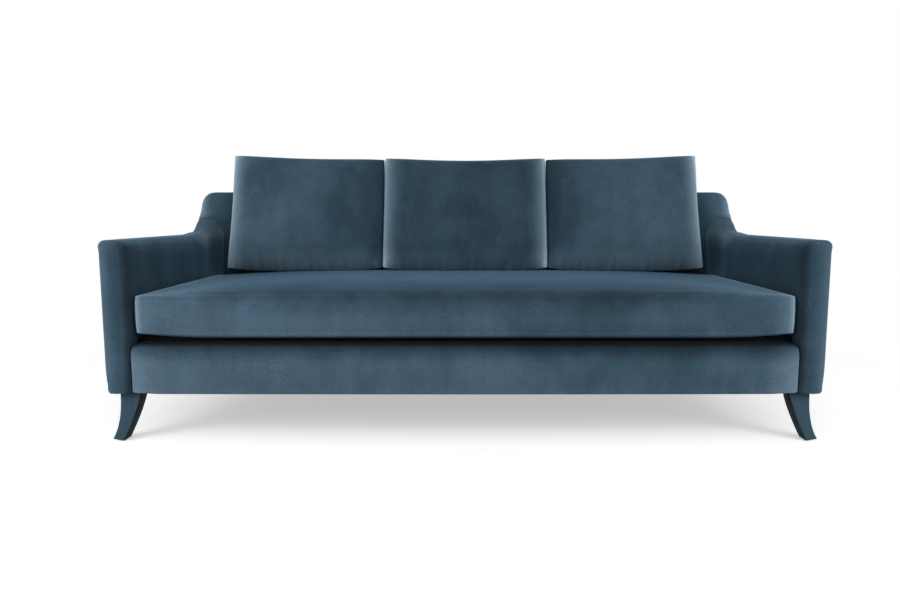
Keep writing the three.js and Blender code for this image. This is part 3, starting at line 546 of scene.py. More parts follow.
def dressed(piece, body, slot, *nodes, fill=None):
    """The piece moves with a body and stands for its CAD nodes; the finish slot is not used."""
    if "tone" not in piece.data.attributes:
        paint_light(piece, plain_level)
    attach(piece, body)
    if nodes:
        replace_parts(piece, *nodes)
    print(piece.name, len(piece.data.polygons), "faces")
    return piece


def dressed_pair(right, slot, solid, fill=None):
    """A right piece and its mirror image on the left, each for its own solid."""
    dressed(right, "frame", slot, f"right_{solid}", fill=fill)
    dressed(mirrored(right, right.name.replace("right", "left")), "frame", slot, f"left_{solid}", fill=fill)


print("helpers ready")

# %% [markdown]
# ## The arms
# Each arm is a wooden frame under a pad, covered in one piece of velvet that runs from the
# floor edge over the top and down inside. From the side its top is level, then rises in the
# scoop. Near the back the inside of the arm spreads toward the middle and ends at a seam in
# the shape of an arch. The rings go from the front face to that seam; the first ones grow
# out of the flat front, which gives the rounded front edges.

# %% Sections of the arm
inner_roll, outer_roll, foot_roll = 25.0, 26.0, 13.0
arm_rolls = (inner_roll, inner_roll, outer_roll, foot_roll)
front_inner, front_outer, lean_out = 28.0, 17.0, 1.5
flare, flare_run, arch_width, arch_height = 37.6, 100.0, 75.0, 88.0


def pulled_in(z):
    """The velvet draws the outer side of the arm in over its last 90 mm."""
    return 7.0 * max(0.0, 1 - (z - underside) / 90) ** 2


def arm_ring(inner, outer, top, rolls, place, bulge=0.0, crown=0.0):
    """One section of the arm, from the inner bottom corner over the top and round; place(z) is its depth."""
    run, rise, outer_radius, foot_radius = rolls
    low, small, hollow, tuck = underside, min(6.0, foot_radius), 24.0, 5.0
    floor = low + (2.0 if place(low) > -446 else 0.0)
    outline = [(x - bulge * sin(pi * unit(((z - low) / (top - low) - 0.35) / 0.65)), z)
               for x, z in line_points((inner, low + small), (inner, top - rise), 26)]
    outline += arc_points(inner + run, top - rise, (run, rise), pi, quarter, 15)
    flat = max(1.0, outer - outer_radius - inner - run)
    outline += [(x, z + crown * sin(pi * (x - inner - run) / flat))
                for x, z in line_points((inner + run, top), (outer - outer_radius, top), 5)]
    outline += arc_points(outer - outer_radius, top - outer_radius, outer_radius, quarter, 0, 9)
    outline += [(x - 1 + cos(pi * min(top - z, z - low, hollow) / hollow), z)
                for x, z in line_points((outer, top - outer_radius), (outer, low + foot_radius), 26)]
    outline += arc_points(outer - foot_radius, low + foot_radius, foot_radius, 0, -quarter, 6)
    heel = outer - foot_radius - 12
    outline += [(heel + 3, low), (heel, floor)] + line_points((heel, floor), (inner + small, floor), 2)
    outline += arc_points(inner + small, floor + small, small, -quarter, -pi, 4)
    points = []
    for x, z in outline:
        across = unit((x - arm_inner_x) / (half_width - arm_inner_x))
        x += tuck * (1 - across) * smooth_step((335 - z) / 60) - pulled_in(z) * across
        points.append((x, place(z), z))
    return points


def eased(y):
    """The top lifts a little on both sides of the scoop's start, so the curve begins softly."""
    return 8.0 * exp(-((y - scoop_start - 10) / 62) ** 2)


def flared(ahead):
    """The inner side of the arm at a distance ahead of the back, where it spreads inward."""
    return arm_inner_x - round_in(flare_run, max(0.0, ahead)) * flare / flare_run


def arm_sections():
    """Rings from the front face of the right arm to the arch on the back."""
    rings = []
    for share in (0.46, 0.30, 0.14):
        inset = 42.0 * share
        rings.append(arm_ring(arm_inner_x + front_inner + inset, half_width - front_outer - inset * 0.55,
                              arm_height - front_outer - inset * 0.6, (5.0, 5.0, 4.0, 4.0),
                              lambda z: front_y - 2.4 * sin(share * pi)))
    for turn in np.linspace(0, quarter, 12):
        depth = front_inner * (1 - cos(turn))
        inner_inset, outer_inset = round_in(front_inner, depth), round_in(front_outer, depth)
        grown = 1 - inner_inset / front_inner
        rings.append(arm_ring(arm_inner_x + inner_inset, half_width + lean_out - outer_inset,
                              arm_height + 4.0 - outer_inset, [roll * max(0.2, grown) for roll in arm_rolls],
                              lambda z: front_y + depth, 2.5 * grown))
    for t in np.linspace(0, 1, 25)[1:-1]:
        y = front_y + front_inner + (scoop_start - front_y - front_inner) * t
        lift = 4.0 * unit((scoop_start - y) / (scoop_start - front_y)) + eased(y)
        rings.append(arm_ring(flared(back_front(arm_height) - y), half_width + lean_out * (1 - t),
                              arm_height + lift, arm_rolls, lambda z: y + (z - arm_height) * tan(rake) * t ** 2,
                              2.5 + 1.5 * sin(pi * t) ** 0.6, 1.5))
    for t in np.linspace(0, 1, 27):
        top = scoop_centre - scoop_radius * cos(scoop_end * t)
        y = scoop_start + scoop_radius * sin(scoop_end * t)
        ahead, growth = back_front(top) - y, t ** 2
        pinch = 2.2 * max(0.0, 1 - ahead / 9.0) ** 2
        run, rise = (inner_roll + (size - inner_roll) * growth for size in (arch_width, arch_height))
        rings.append(arm_ring(flared(ahead) + pinch, half_width - 3.0 * growth - pinch,
                              top - pinch + eased(y) * (1 - t), (run, rise, outer_roll, foot_roll),
                              lambda z: back_front(z) - ahead, 2.5 * (1 - t), 1.5 * (1 - t)))
    rings.append([(x, y + 14.0, z) for x, y, z in rings[-1]])
    return rings


arm_rings = arm_sections()
print(len(arm_rings), "rings of", len(arm_rings[0]), "points")

# %% [markdown]
# The cover carries painted shade on the inside of the arms, and painted highlights at the outer
# front edge and in the scoop. One cover is made and its light and shade painted; the left one is
# its mirror image.

# %% Arm covers
def arm_painted_light(x, y, z, nx, ny, nz):
    """Painted highlights along the outer front edge and in the scoop, painted shade on the whole inside."""
    across = (np.abs(x) - arm_inner_x) / (half_width - arm_inner_x)
    scoop = unit((y - scoop_start + 30) / 90) * unit((z - 560) / 70)
    local_top = scoop_centre - np.sqrt(scoop_radius ** 2 - np.clip(y - scoop_start, 0, 150) ** 2)
    behind_front = unit((y - front_y - 30) / 240)
    deep = unit((local_top - 20 - z) / 40) * unit((y - front_y - 60) / 60)
    inside = (50 + 5 * behind_front + 16 * scoop + 44 * unit((y - 95 - 45 * deep) / 110)
              + 44 * unit(1 - (local_top - z) / (24 + 42 * behind_front)) ** 1.2)
    front = (65 + 33 * unit((across - 0.35) / 0.65) + 40 * fade(half_width - np.abs(x), 12, 1.0)
             - 18 * fade(across, 0.24, 1.0) + 14 * scoop) * (1 - deep) + inside * deep
    outward = nx * np.sign(x)
    weights = [unit(-ny) ** 2, unit(-outward) ** 2, unit(nz) ** 2, unit(outward) ** 2 + 0.01]
    blend = sum(w * face for w, face in zip(weights, (front, inside, 92 + 4 * scoop, 78))) / sum(weights)
    # Painted shade where the front turns into the inside.
    turning = weights[0] * weights[1] / sum(weights) ** 2
    return blend - (6 + 38 * unit((y - front_y - 60) / 60)) * turning


arm = paint_light(skin("right_arm_cover", arm_rings, velvet, 43), arm_painted_light)
dressed_pair(arm, "velvet", "arm_pad", fill=0.8)

# %% [markdown]
# ## The tight back
# The back is a padded slab that leans 11 degrees. Its velvet comes up from the seat, rolls
# over the top with soft corners, and meets the outside panels behind. Plan sections, one
# above the other, follow the lean and let the corner roll grow where the arms end.

# %% Inside back cover
back_crown, top_roll_depth = 3.0, 62.0


def back_ring(z, front, rear, side, front_edge, rear_edge):
    right, left = both_sides(arc_points(side - front_edge, front + front_edge, front_edge, -quarter, 0, 11)
                             + line_points((side, front + front_edge), (side, rear - rear_edge), 5)
                             + arc_points(side - rear_edge, rear - rear_edge, rear_edge, 0, quarter, 6))
    width = right[0][0] - left[-1][0]
    front_run = [(x, y - back_crown * sin(pi * (x - left[-1][0]) / width) ** 0.5)
                 for x, y in line_points(left[-1], right[0], 90)]
    return [(x, y, z) for x, y in front_run + right + line_points(right[-1], left[0], 60) + left]


def side_lean(z):
    """How far the sides lie inside the arm's width, more above the scoop."""
    return 3.0 + 5.5 * smooth_step((z - scoop_end_z + 20) / 85)


def side_surface(z):
    """The sofa's outer side at a height, drawn in at the foot and leaning in above the scoop."""
    return half_width - round_in(foot_roll, z - underside) - pulled_in(z) - side_lean(z)


def back_cover():
    """Plan sections from the foot up, then over the top as the angle grows."""
    stations = [(underside + 2.2 + 11 * (1 - cos(a)), 0) for a in np.linspace(0, quarter, 6)]
    stations += [(z, 0) for z in np.linspace(200, scoop_end_z, 22)]
    stations += [(z, 0) for z in np.linspace(scoop_end_z, back_height - 64, 10)[1:]]
    stations += [(back_height - top_roll_depth * (1 - sin(a)), a) for a in np.linspace(0, quarter, 16)[1:]]
    rings = []
    for z, angle in stations:
        below = back_height - z
        side = side_surface(z) - 44 * (1 - cos(angle))
        front = back_front(z) + round_in(30.0, below)
        rear = back_rear(z) - round_in(back_top_rear_radius, below)
        roll, most = 8 + 39 * smooth_step((z - scoop_end_z + 45) / 85), (rear - front) * 0.46
        rings.append(back_ring(z, front, rear - 2.0, side, min(roll, most), min(10.0, most)))
    top = rings[-1]
    middle = sum(p[1] for p in top) / len(top)
    rings.append([(x * 0.995, middle + (y - middle) * 0.55, z + 1.2) for x, y, z in top])
    return skin("inside_back_cover", rings, velvet)


def back_painted_light(x, y, z, nx, ny, nz):
    """Painted highlights along the free sides above the arms, painted shade low down where the arms meet it."""
    side = half_width - 8 - np.abs(x)
    above = unit((z - scoop_end_z + 25) / 40)
    front = (66 + above * (62 * fade(side, 50, 1.3) + 34 * fade(side, 150, 1.0))
             - 12 * fade(np.abs(x) - 930, 60, 1.0))
    return np.where(ny < -0.3, front, plain_level + 10 * unit(nz))


dressed(paint_light(back_cover(), back_painted_light), "frame", "velvet", "inside_back", fill=0.8)

# %% [markdown]
# ## The outside panels
# The sides and the rear are closed last, with flat pieces of velvet over a thin wadding,
# hand sewn along their edges. A panel is a thin slab with rolled edges: rings that follow
# its outline, each a little further in and further out.

# %% Outlines of panels
def offset_outline(outline, distance):
    """The outline moved inward, each corner along its bisector."""
    points = np.array(outline)
    along = np.roll(points, -1, axis=0) - points
    along /= np.linalg.norm(along, axis=1)[:, None]
    normal = np.stack([-along[:, 1], along[:, 0]], axis=1)
    bisector = normal + np.roll(normal, 1, axis=0)
    bisector /= np.linalg.norm(bisector, axis=1)[:, None]
    cosine = np.maximum(0.4, np.sum(bisector * normal, axis=1))
    return points + bisector * (distance / cosine)[:, None]


def dense_outline(corners, step=14.0):
    """The same outline, counter-clockwise, with points at even steps."""
    points = []
    for p, q in zip(corners, corners[1:] + corners[:1]):
        points += [p] + line_points(p, q, int(dist(p, q) / step))
    area = sum(p[0] * q[1] - q[0] * p[1] for p, q in zip(points, points[1:] + points[:1]))
    return points if area > 0 else points[::-1]


def sewn_panel(name, corners, place):
    """A thin padded panel on an outline; place(u, v, out) gives its point in space."""
    outline = dense_outline(corners)
    steps = [(0.0, -9.0), (0.0, -3.0), (0.5, -1.6), (1.6, -0.4), (3.4, 0.4), (6.0, 0.8)]
    rings = [[place(u, v, out) for u, v in offset_outline(outline, inset)] for inset, out in steps]
    return skin(name, rings, velvet)


print("panel helpers ready")

# %% [markdown]
# The arm's panel lies 22 mm inside the arm's own outline, follows the scoop with a wider arc
# and then rises beside the back. The rear panel is nearly a rectangle.

# %% Outside arm panels and outside back
def outside_arm_corners():
    """The panel's outline from the front foot over the arm, the scoop and the riser, and down the rear."""
    radius, riser_base = scoop_radius + reveal, 24
    end = scoop_angle(radius, riser_setback)
    riser = lambda z: back_front(z) + riser_setback + riser_base * smooth_step((z - scoop_end_z) / 45)
    corners = [(front_y + reveal, underside + low) for low in (1.0, 4.0, 8.0, 14.0, 26.0, 40.0, 60.0, 90.0)]
    corners += arc_points(front_y + reveal + 7, arm_height - reveal - 7, 7, pi, quarter, 6)
    corners += arc_points(scoop_start, scoop_centre, radius, -quarter, end - quarter, 14)
    corners += [(riser(z), z) for z in np.linspace(corners[-1][1] + 4, side_panel_top - 6, 12)]
    corners += arc_points(riser(side_panel_top) + 6, side_panel_top - 6, 6, pi, quarter, 5)
    return corners + [(back_rear(z) - 3, z) for z in (side_panel_top, 251, 221, 201, 187, 175, 169, 165, 162)]


def side_place(y, z, out):
    return side_surface(z) + 0.2 + out, y, z


def rear_place(x, z, out):
    return x, back_rear(z) - 1.2 + out, z


dressed_pair(sewn_panel("right_outside_arm_cover", outside_arm_corners(), side_place), "velvet", "outside_arm")
rear_side = half_width - 9.0
rear_corners = [(-rear_side, underside + 1.0), (rear_side, underside + 1.0), (rear_side - 4, panel_top),
                (4 - rear_side, panel_top)]
dressed(sewn_panel("outside_back_cover", rear_corners, rear_place), "frame", "velvet", "outside_back")

# %% [markdown]
# ## The front border
# A padded rail under the seat cushion, between the arms. Its front bows by 6 mm, its upper
# edge is a roll of 18 mm, and it ends in small round corners against the arms. Its top,
# which lies in the gap under the cushion, takes the darker velvet without sheen as painted
# shade.

# %% Front border
def front_border():
    """Sections across the rail, one beside the other from the left end to the right."""
    end, corner_width, corner_drop, roll = arm_inner_x + 4.2, 46.0, 24.0, 18
    stations = [(-end + corner_width * (1 - cos(a)), corner_drop * (1 - sin(a)))
                for a in np.linspace(0, quarter, 12)]
    middle = [(x, 0.0) for x in np.linspace(-end + corner_width, end - corner_width, 60)[1:-1]]
    rings = []
    for x, drop in stations + middle + [(-x, drop) for x, drop in reversed(stations)]:
        from_end = end - abs(x)
        tuck = 7.0 * (1 - min(1.0, from_end / 14.0)) ** 2
        top, front = border_top - drop, front_y + 6.0 * (x / end) ** 2 + tuck
        puff, low = 2.5 * min(1.0, from_end / 60.0), underside - 4.0 * min(1.0, from_end / 80.0)
        ring = [(front + 9.0, low), (front + 4.0, low + 0.8), (front + 1.2, low + 2.6), (front, low + 6.0)]
        ring += [(y - puff * sin(pi * (z - low) / (top - low)), z)
                 for y, z in line_points((front, low + 6), (front, top - roll), 12)]
        ring += arc_points(front + roll, top - roll, roll, pi, quarter, 10)
        ring += [(front_y + 40, top), (front_y + 60, top - 1.0), (front_y + 60, underside + 2),
                 (front_y + 31, underside + 2)]
        rings.append([(x, y, z) for y, z in ring])
    return skin("front_border_cover", rings, velvet)


def border_painted_light(x, y, z, nx, ny, nz):
    """Painted highlights at both ends and along the lower edge, a band of painted shade under the cushion."""
    in_gap, behind = 14, 60
    front = (87 - 9 * unit((x + 50) / 500) + np.where(x > 0, 38, 26) * fade(arm_inner_x - np.abs(x), 110, 1.0)
             - 52 * fade(border_top - 4 - z, 66, 1.6) - 24 * fade(border_top - z, 12, 1.0)
             + 6 * fade(z - underside, 26, 1.0))
    front = front + (in_gap - front) * unit(nz * 1.6 - 0.5)
    return np.where(ny < -0.1, front, np.where(z > border_top - 20, in_gap, behind))


border = paint_light(front_border(), border_painted_light)
# The top of the rail takes the darker velvet without sheen: painted shade under the cushion.
second_finish(border, velvet_in_painted_shade,
              lambda face: face.normal.z > 0.8 and face.center.z > (border_top - 30) * MM)
dressed(border, "frame", "velvet", "front_border", fill=0.8)

# %% [markdown]
# ## The seat cushion
# One long loose cushion, boxed: its top runs over the front edge and down the front face in
# one piece, and each end is closed by a strip. It crowns by 26 mm toward the middle and its
# lower edge lifts a little at both ends, because the foam is wrapped in wadding that is
# fuller in the middle. Rings follow the plan outline, from the middle of the underside round
# the edge to the middle of the top.

# %% Plan and heights of the seat cushion
seat_half, seat_front, seat_rear = arm_inner_x - 13.0, front_y + 20.0, back_front(deck_height) - 2.0
seat_low, seat_edge_top, seat_crown = deck_height + 0.3, deck_height + 132.0, 26.0
corner_points, side_points, rear_points, run_points, outset = 9, 60, 12, 150, 8


def swell(distance, reach):
    """0 at an edge, rising to 1 at a reach from it, as a filled cloth rises."""
    return 1 - (1 - max(0.0, min(1.0, distance / reach))) ** 2


def seat_top(x, y):
    return (seat_edge_top + seat_crown * swell(seat_half - abs(x), 560) * swell(y - seat_front, 250)
            * swell(seat_rear - y, 60))


def seat_underside(x):
    return seat_low + 13.7 * (1 - swell(seat_half - abs(x), 250))


def seat_outline(inset):
    """The cushion seen from above, its front corners tight and its rear corners round."""
    x1, y0, y1 = seat_half - inset, seat_front + inset, seat_rear - inset
    front, rear = max(7 - inset, 2.0), max(42 - inset, 8.0)
    right, left = both_sides(arc_points(x1 - front, y0 + front, front, -quarter, 0, corner_points)
                             + line_points((x1, y0 + front), (x1, y1 - rear), side_points)
                             + arc_points(x1 - rear, y1 - rear, rear, 0, quarter, rear_points))
    return (right + line_points(right[-1], left[0], run_points) + left
            + line_points(left[-1], right[0], run_points))


seat_plans = np.array([seat_outline(inset) for inset in range(-outset, 61)])


def seat_ring(inset, height):
    """A ring with its own inset for each point; height(i, x, y) gives the level of point i."""
    step = np.clip((inset + outset).astype(int), 0, len(seat_plans) - 2)
    part = (inset + outset - step)[:, None]
    index = np.arange(seat_plans.shape[1])
    plan = seat_plans[step, index] * (1 - part) + seat_plans[step + 1, index] * part
    return [(x, y, height(i, x, y)) for i, (x, y) in enumerate(plan)]


print("seat cushion", round(2 * seat_half), "by", round(seat_rear - seat_front), "mm")

# %% [markdown]
# The rolls along the cushion's edges are fuller in the middle of its front than at its ends.
# The level top carries painted shade against the upright front, and both carry painted
# highlights toward the ends.

# %% Seat cushion
def seat_cushion():
    """Rings from the middle of the underside, round the edge, to the middle of the top."""
    base = seat_plans[outset]
    reach = (seat_rear - seat_front) / 2
    in_front = unit((seat_front + 40 - base[:, 1]) / 40)
    fuller = in_front * np.array([swell(seat_half - abs(x) - 6, 240) for x in base[:, 0]])
    top_roll, low_roll, bow = 9.0 + 36.0 * fuller, 8.0 + 6.0 * fuller, 1.5 + 3.5 * fuller
    rings = [seat_ring(low_roll + (reach - low_roll) * share, lambda i, x, y: seat_underside(x))
             for share in (0.999, 0.97, 0.8, 0.6, 0.4, 0.2)]
    for turn in np.linspace(0, quarter, 7):
        rings.append(seat_ring(low_roll * (1 - sin(turn)),
                               lambda i, x, y: seat_underside(x) + low_roll[i] * (1 - cos(turn))))
    for share in np.linspace(0, 1, 16)[1:-1]:
        def side(i, x, y):
            low, high = seat_underside(x) + low_roll[i], seat_top(x, y) - top_roll[i]
            return low + (high - low) * share
        rings.append(seat_ring(-bow * sin(pi * share) ** 0.8, side))
    for turn in np.linspace(0, quarter, 13):
        rings.append(seat_ring(top_roll * (1 - cos(turn)),
                               lambda i, x, y: seat_top(x, y) - top_roll[i] * (1 - sin(turn))))
    for share in (0.02, 0.045, 0.075, 0.11, 0.15, 0.2, 0.26, 0.33, 0.41, 0.5, 0.6, 0.7, 0.8, 0.9, 0.97, 0.999):
        rings.append(seat_ring(top_roll + (reach - top_roll) * share, lambda i, x, y: seat_top(x, y)))
    return rings


def seat_painted_light(x, y, z, nx, ny, nz):
    """Painted shade on the level top against the upright front, painted highlights along both ends."""
    end, to_right = seat_half - np.abs(x), unit((x + 250) / 500)
    front = (86 - 11 * to_right + np.where(x > 0, 38, 22) * fade(end, 90, 1.6) + 70 * fade(end, 10, 1.0)
             + 8 * fade(z - seat_low - 8, 16, 1.0)
             - 18 * fade(np.abs(z - 452), 62, 1.0) * unit((end - 180) / 350))
    top = ((43 - 2 * to_right) * (1 - 0.28 * fade(y - seat_front, 170, 1.0) * unit((end - 120) / 350))
           + 74 * fade(end, 330, 1.2) + 50 * fade(end, 50, 1.4)
           + 22 * fade(end, 700, 1.2) * unit((y - seat_front - 40) / 250))
    # A painted highlight where the front edge rolls over into the top.
    roll = (9 + 9 * unit(-x / 600)) * np.exp(-((nz - 0.88) / 0.1) ** 2)
    up, under, side = unit(nz) ** 5, unit(-nz * 1.4 - 0.4), unit(1.9 * np.abs(nx) - 0.9)
    level = (front * (1 - up) + top * up + roll) * (1 - under) + 55 * under
    return level * (1 - side) + 80 * side


seat_rings = seat_cushion()
seat = paint_light(skin("seat_cushion_skin", seat_rings, velvet, 39), seat_painted_light)
dressed(seat, "seat_cushion", "velvet", "seat_cushion_cover", fill=0.75)

# %% [markdown]
# ## The back cushions
# Three loose cushions of two faces each, sewn edge to edge without piping. Filled, such a
# bag is full in the middle and thin at its edge, its sides stay almost straight, and small
# gathers stand along its lower seam where the weight settles. They lean back by 19 degrees.
# The outer corners of the side cushions sit a little higher than the inner ones.

# %% Shape of a back cushion
cushion_lean, cushion_height, seat_crest = radians(19.1), 478.0, seat_edge_top + seat_crown
cushion_foot, side_cushion_room = back_front(seat_crest) - 147.0, arm_inner_x - 95.0
cushion_gap, centre_extra, front_loft, rear_loft = 5.0, 38.0, 100.0, 88.0


def superround(u, power):
    return max(0.0, 1 - abs(u) ** power)


def rounded_corner(x, y, half_x, half_y, radius):
    """A point of a rectangle, moved so that the rectangle's corners are round."""
    a, b = abs(x) - (half_x - radius), abs(y) - (half_y - radius)
    if a <= 0 or b <= 0:
        return x, y
    draw = max(a, b) / hypot(a, b)
    return copysign(half_x - radius + a * draw, x), copysign(half_y - radius + b * draw, y)


def gathers(seed):
    """A curve of small uneven folds across a cushion's foot, from -1 to 1."""
    phase = np.random.default_rng(seed).uniform(0, 6.28, 4)
    return lambda u: sum(np.sin(u * k + p) for k, p in zip((29, 41, 57, 71), phase)) / 4


def cushion_point(u, v, face, centre, width, folds):
    """A point of the bag: u from end to end and v from foot to top, both -1 to 1; face is the side."""
    outward = u if centre > 0 else -u
    dip, slope = (11.0, 18.0 * (1 - outward) / 2) if centre else (17.0, 12.0)
    drop = (dip * (1 - u * u) + slope) * max(0.0, v) ** 2
    lift = 12.0 * u ** 4 * max(0.0, -v) ** 4
    across, upward = rounded_corner(u * width / 2, v * cushion_height / 2, width / 2, cushion_height / 2,
                                    5.0 if v < 0 else 8.0)
    across += -7.0 * u * (1 - v * v) if outward > 0 and centre else 1.5 * u * (1 - v ** 8)
    full = superround(u, 5.0) ** 0.5 * (superround(v, 4.5) ** 0.5 if v > 0 else superround(v, 5.5) ** 0.7)
    from_foot = (1 + v) * cushion_height / 2
    gather = exp(-from_foot / 24.0) * min(1.0, from_foot / 4.0)
    along = cushion_height / 2 + upward - drop + lift
    out = face * (full * (front_loft if face > 0 else rear_loft) + 6.0 * gather * folds(u))
    z = max(seat_crest + along * cos(cushion_lean) - out * sin(cushion_lean), seat_crest + 0.6)
    y = min(cushion_foot + along * sin(cushion_lean) + out * cos(cushion_lean), back_front(z) - 1.5)
    return centre + across, y, z


def back_cushion(name, centre, width, seed):
    """Two crowned faces on one seam, leaned back, flat where they rest; also the seam's points."""
    columns, rows = 132, 108
    folds, ease = gathers(seed), lambda step: sin(step * quarter)
    verts, index, faces = [], {}, []
    key = lambda i, j, face: (i, j, 0 if i in (0, columns) or j in (0, rows) else face)
    for face in (-1, 1):
        for i in range(columns + 1):
            for j in range(rows + 1):
                if key(i, j, face) not in index:
                    index[key(i, j, face)] = len(verts)
                    u, v = ease(2 * i / columns - 1), ease(2 * j / rows - 1)
                    verts.append(cushion_point(u, v, key(i, j, face)[2], centre, width, folds))
        for i in range(columns):
            for j in range(rows):
                ids = [index[key(a, b, face)] for a, b in ((i, j), (i + 1, j), (i + 1, j + 1), (i, j + 1))]
                faces.append(ids if face < 0 else ids[::-1])
    edge = [(i, 0) for i in range(columns)] + [(columns, j) for j in range(rows)]
    edge += [(i, rows) for i in range(columns, 0, -1)] + [(0, j) for j in range(rows, 0, -1)]
    return piece_from(name, verts, faces, velvet), [verts[index[(i, j, 0)]] for i, j in edge]


side_width = (2 * (side_cushion_room - cushion_gap) - centre_extra) / 3
centre_width = side_width + centre_extra
offset = centre_width / 2 + cushion_gap + side_width / 2
cushions = (("left", -offset, side_width, 3), ("centre", 0, centre_width, 5), ("right", offset, side_width, 8))
print("side cushions", round(side_width), "mm, centre cushion", round(centre_width), "mm")

# %% [markdown]
# Each cushion carries painted highlights along its free edges and its foot, and the side
# cushions carry painted shade toward their inner end.

# %% Back cushions
def cushion_painted_light(centre, width, seed):
    """Front faces: painted highlights at the free edges and the foot, painted shade toward the inner end."""
    folds = gathers(seed)
    rim = lambda distance, strength: strength * (fade(distance, 95, 2.0) + 0.35 * fade(distance, 22, 1.2))

    def level(x, y, z, nx, ny, nz):
        left, right, up = x - centre + width / 2, centre + width / 2 - x, z - seat_crest
        # Painted highlight along the foot, lighter and darker over the gathers.
        foot = (8 * (1 - unit(up / 440)) + (39 if centre else 29) * fade(up, 95, 1.0)
                + 16 * fade(up, 55, 1.0) * folds((x - centre) / width * 2))
        if centre < 0:
            front = 75 + foot + rim(left, 136) - 20 * fade(right, 260, 1.15)
        elif centre > 0:
            front = 74 + foot + rim(right, 142) - 19 * fade(left, 230, 1.15)
        else:
            front = 60 + foot + rim(left, 103) + rim(right, 108)
        return np.where(ny < 0.1, front, plain_level)
    return level


cushion_seams = {}
for place, centre, width, seed in cushions:
    cushion, cushion_seams[place] = back_cushion(f"{place}_back_cushion_skin", centre, width, seed)
    paint_light(cushion, cushion_painted_light(centre, width, seed))
    dressed(cushion, f"{place}_back_cushion", "velvet", f"{place}_back_cushion_cover", fill=0.7)

# %% [markdown]
# ## Seams, stitches, teeth and staples
# Everything that is sewn or driven in follows a line: a seam ridge, a row of hand stitches,
# a zip, the staples of the dust cover. Two Geometry Nodes trees make them all. One sweeps a
# small round section along a path, the other sets the same little block at even steps along
# it and turns each one with the path. The results become plain meshes, because instances are
# lost when the part is saved.

# %% Geometry Nodes for ridges and rows
def path_tree(name, numbers, build):
    """A tree that makes build(tree, given, curve) along the path it gets, as real mesh with its finish."""
    tree = bpy.data.node_groups.new(name, "GeometryNodeTree")
    for label, kind in {"Geometry": "Geometry", **numbers, "Finish": "Material"}.items():
        tree.interface.new_socket(label, in_out="INPUT", socket_type="NodeSocket" + kind)
    tree.interface.new_socket("Geometry", in_out="OUTPUT", socket_type="NodeSocketGeometry")
    given = node(tree, "NodeGroupInput").outputs
    curve = node(tree, "GeometryNodeMeshToCurve", {0: given["Geometry"]}).outputs[0]
    real = node(tree, "GeometryNodeRealizeInstances", {0: build(tree, given, curve)}).outputs[0]
    painted = node(tree, "GeometryNodeSetMaterial", {"Geometry": real, "Material": given["Finish"]}).outputs[0]
    node(tree, "NodeGroupOutput", {0: painted})
    return tree


def swept_ridge(tree, given, curve):
    """A small round section along the path."""
    section = node(tree, "GeometryNodeCurvePrimitiveCircle", {"Resolution": 6, "Radius": given["Ridge Radius"]})
    return node(tree, "GeometryNodeCurveToMesh", {"Curve": curve, "Profile Curve": section.outputs[0],
                                                  "Fill Caps": True}).outputs[0]


def set_blocks(tree, given, curve):
    """Small blocks at even steps, turned with the path, every second one moved aside."""
    steps = node(tree, "GeometryNodeCurveToPoints", {"Curve": curve, "Length": given["Spacing"]},
                 mode="LENGTH").outputs
    block = node(tree, "GeometryNodeMeshUVSphere", {"Segments": 6, "Rings": 4, "Radius": 0.5}).outputs["Mesh"]
    blocks = node(tree, "GeometryNodeInstanceOnPoints", {"Points": steps["Points"], "Instance": block,
                                                         "Rotation": steps["Rotation"], "Scale": given["Block Size"]})
    odd = maths(tree, "PINGPONG", node(tree, "GeometryNodeInputIndex").outputs[0], 1.0)
    aside = maths(tree, "MULTIPLY", maths(tree, "SUBTRACT", odd, 0.5), given["Stagger"])
    shift = node(tree, "ShaderNodeCombineXYZ", {"X": aside}).outputs[0]
    return node(tree, "GeometryNodeTranslateInstances", {"Instances": blocks.outputs[0], "Translation": shift,
                                                         "Local Space": True}).outputs[0]


def along_path(name, tree, paths, material, **values):
    """A plain mesh made by a tree along one or more open or closed paths in millimetres."""
    points, edges = [], []
    for path, closed in paths:
        first = len(points)
        points += [tuple(float(c) * MM for c in p) for p in path]
        edges += [(i, i + 1) for i in range(first, len(points) - 1)]
        edges += [(len(points) - 1, first)] if closed else []
    guide_mesh = bpy.data.meshes.new(name + "_path")
    guide_mesh.from_pydata(points, edges, [])
    guide = add_object(name + "_path", guide_mesh)
    modifier = guide.modifiers.new("row", "NODES")
    modifier.node_group = tree
    sockets = {item.name: item.identifier for item in tree.interface.items_tree if item.in_out == "INPUT"}
    for label, value in {**spaced(values), "Finish": material}.items():
        modifier[sockets[label]] = value
    bpy.context.view_layer.update()
    mesh = bpy.data.meshes.new_from_object(guide.evaluated_get(bpy.context.evaluated_depsgraph_get()))
    bpy.data.objects.remove(guide)
    mesh.name = name
    edit(mesh, lambda shell: bmesh.ops.recalc_face_normals(shell, faces=shell.faces))
    mesh.shade_smooth()
    return add_object(name, mesh)


seam_ridge = path_tree("seam_ridge", {"Ridge Radius": "Float"}, swept_ridge)
row_along_path = path_tree("row_along_path", {"Spacing": "Float", "Block Size": "Vector", "Stagger": "Float"},
                           set_blocks)
print("trees:", seam_ridge.name, row_along_path.name)

# %% [markdown]
# ## The seams that show
# The cushions have no piping, so a seam is only a fine raised line where two cloths meet and
# turn inside. It follows the whole edge of each back cushion, the edges of the two end
# strips of the seat, and the arch where each arm meets the back. At the top of each arm's
# front the cloth is folded into a short pleat.

# %% Seams of the cushions and the arches
def on_both_arms(path, closed=False):
    """The path on the right side and its mirror image on the left."""
    return [([(side * x, y, z) for x, y, z in path], closed) for side in (1, -1)]


def sewn_ridge(name, body, paths, radius, level):
    """A ridge of velvet, its radius in metres and its painted light as a screen level."""
    dressed(paint_light(along_path(name, seam_ridge, paths, velvet, Ridge_Radius=radius), level), body, "velvet")


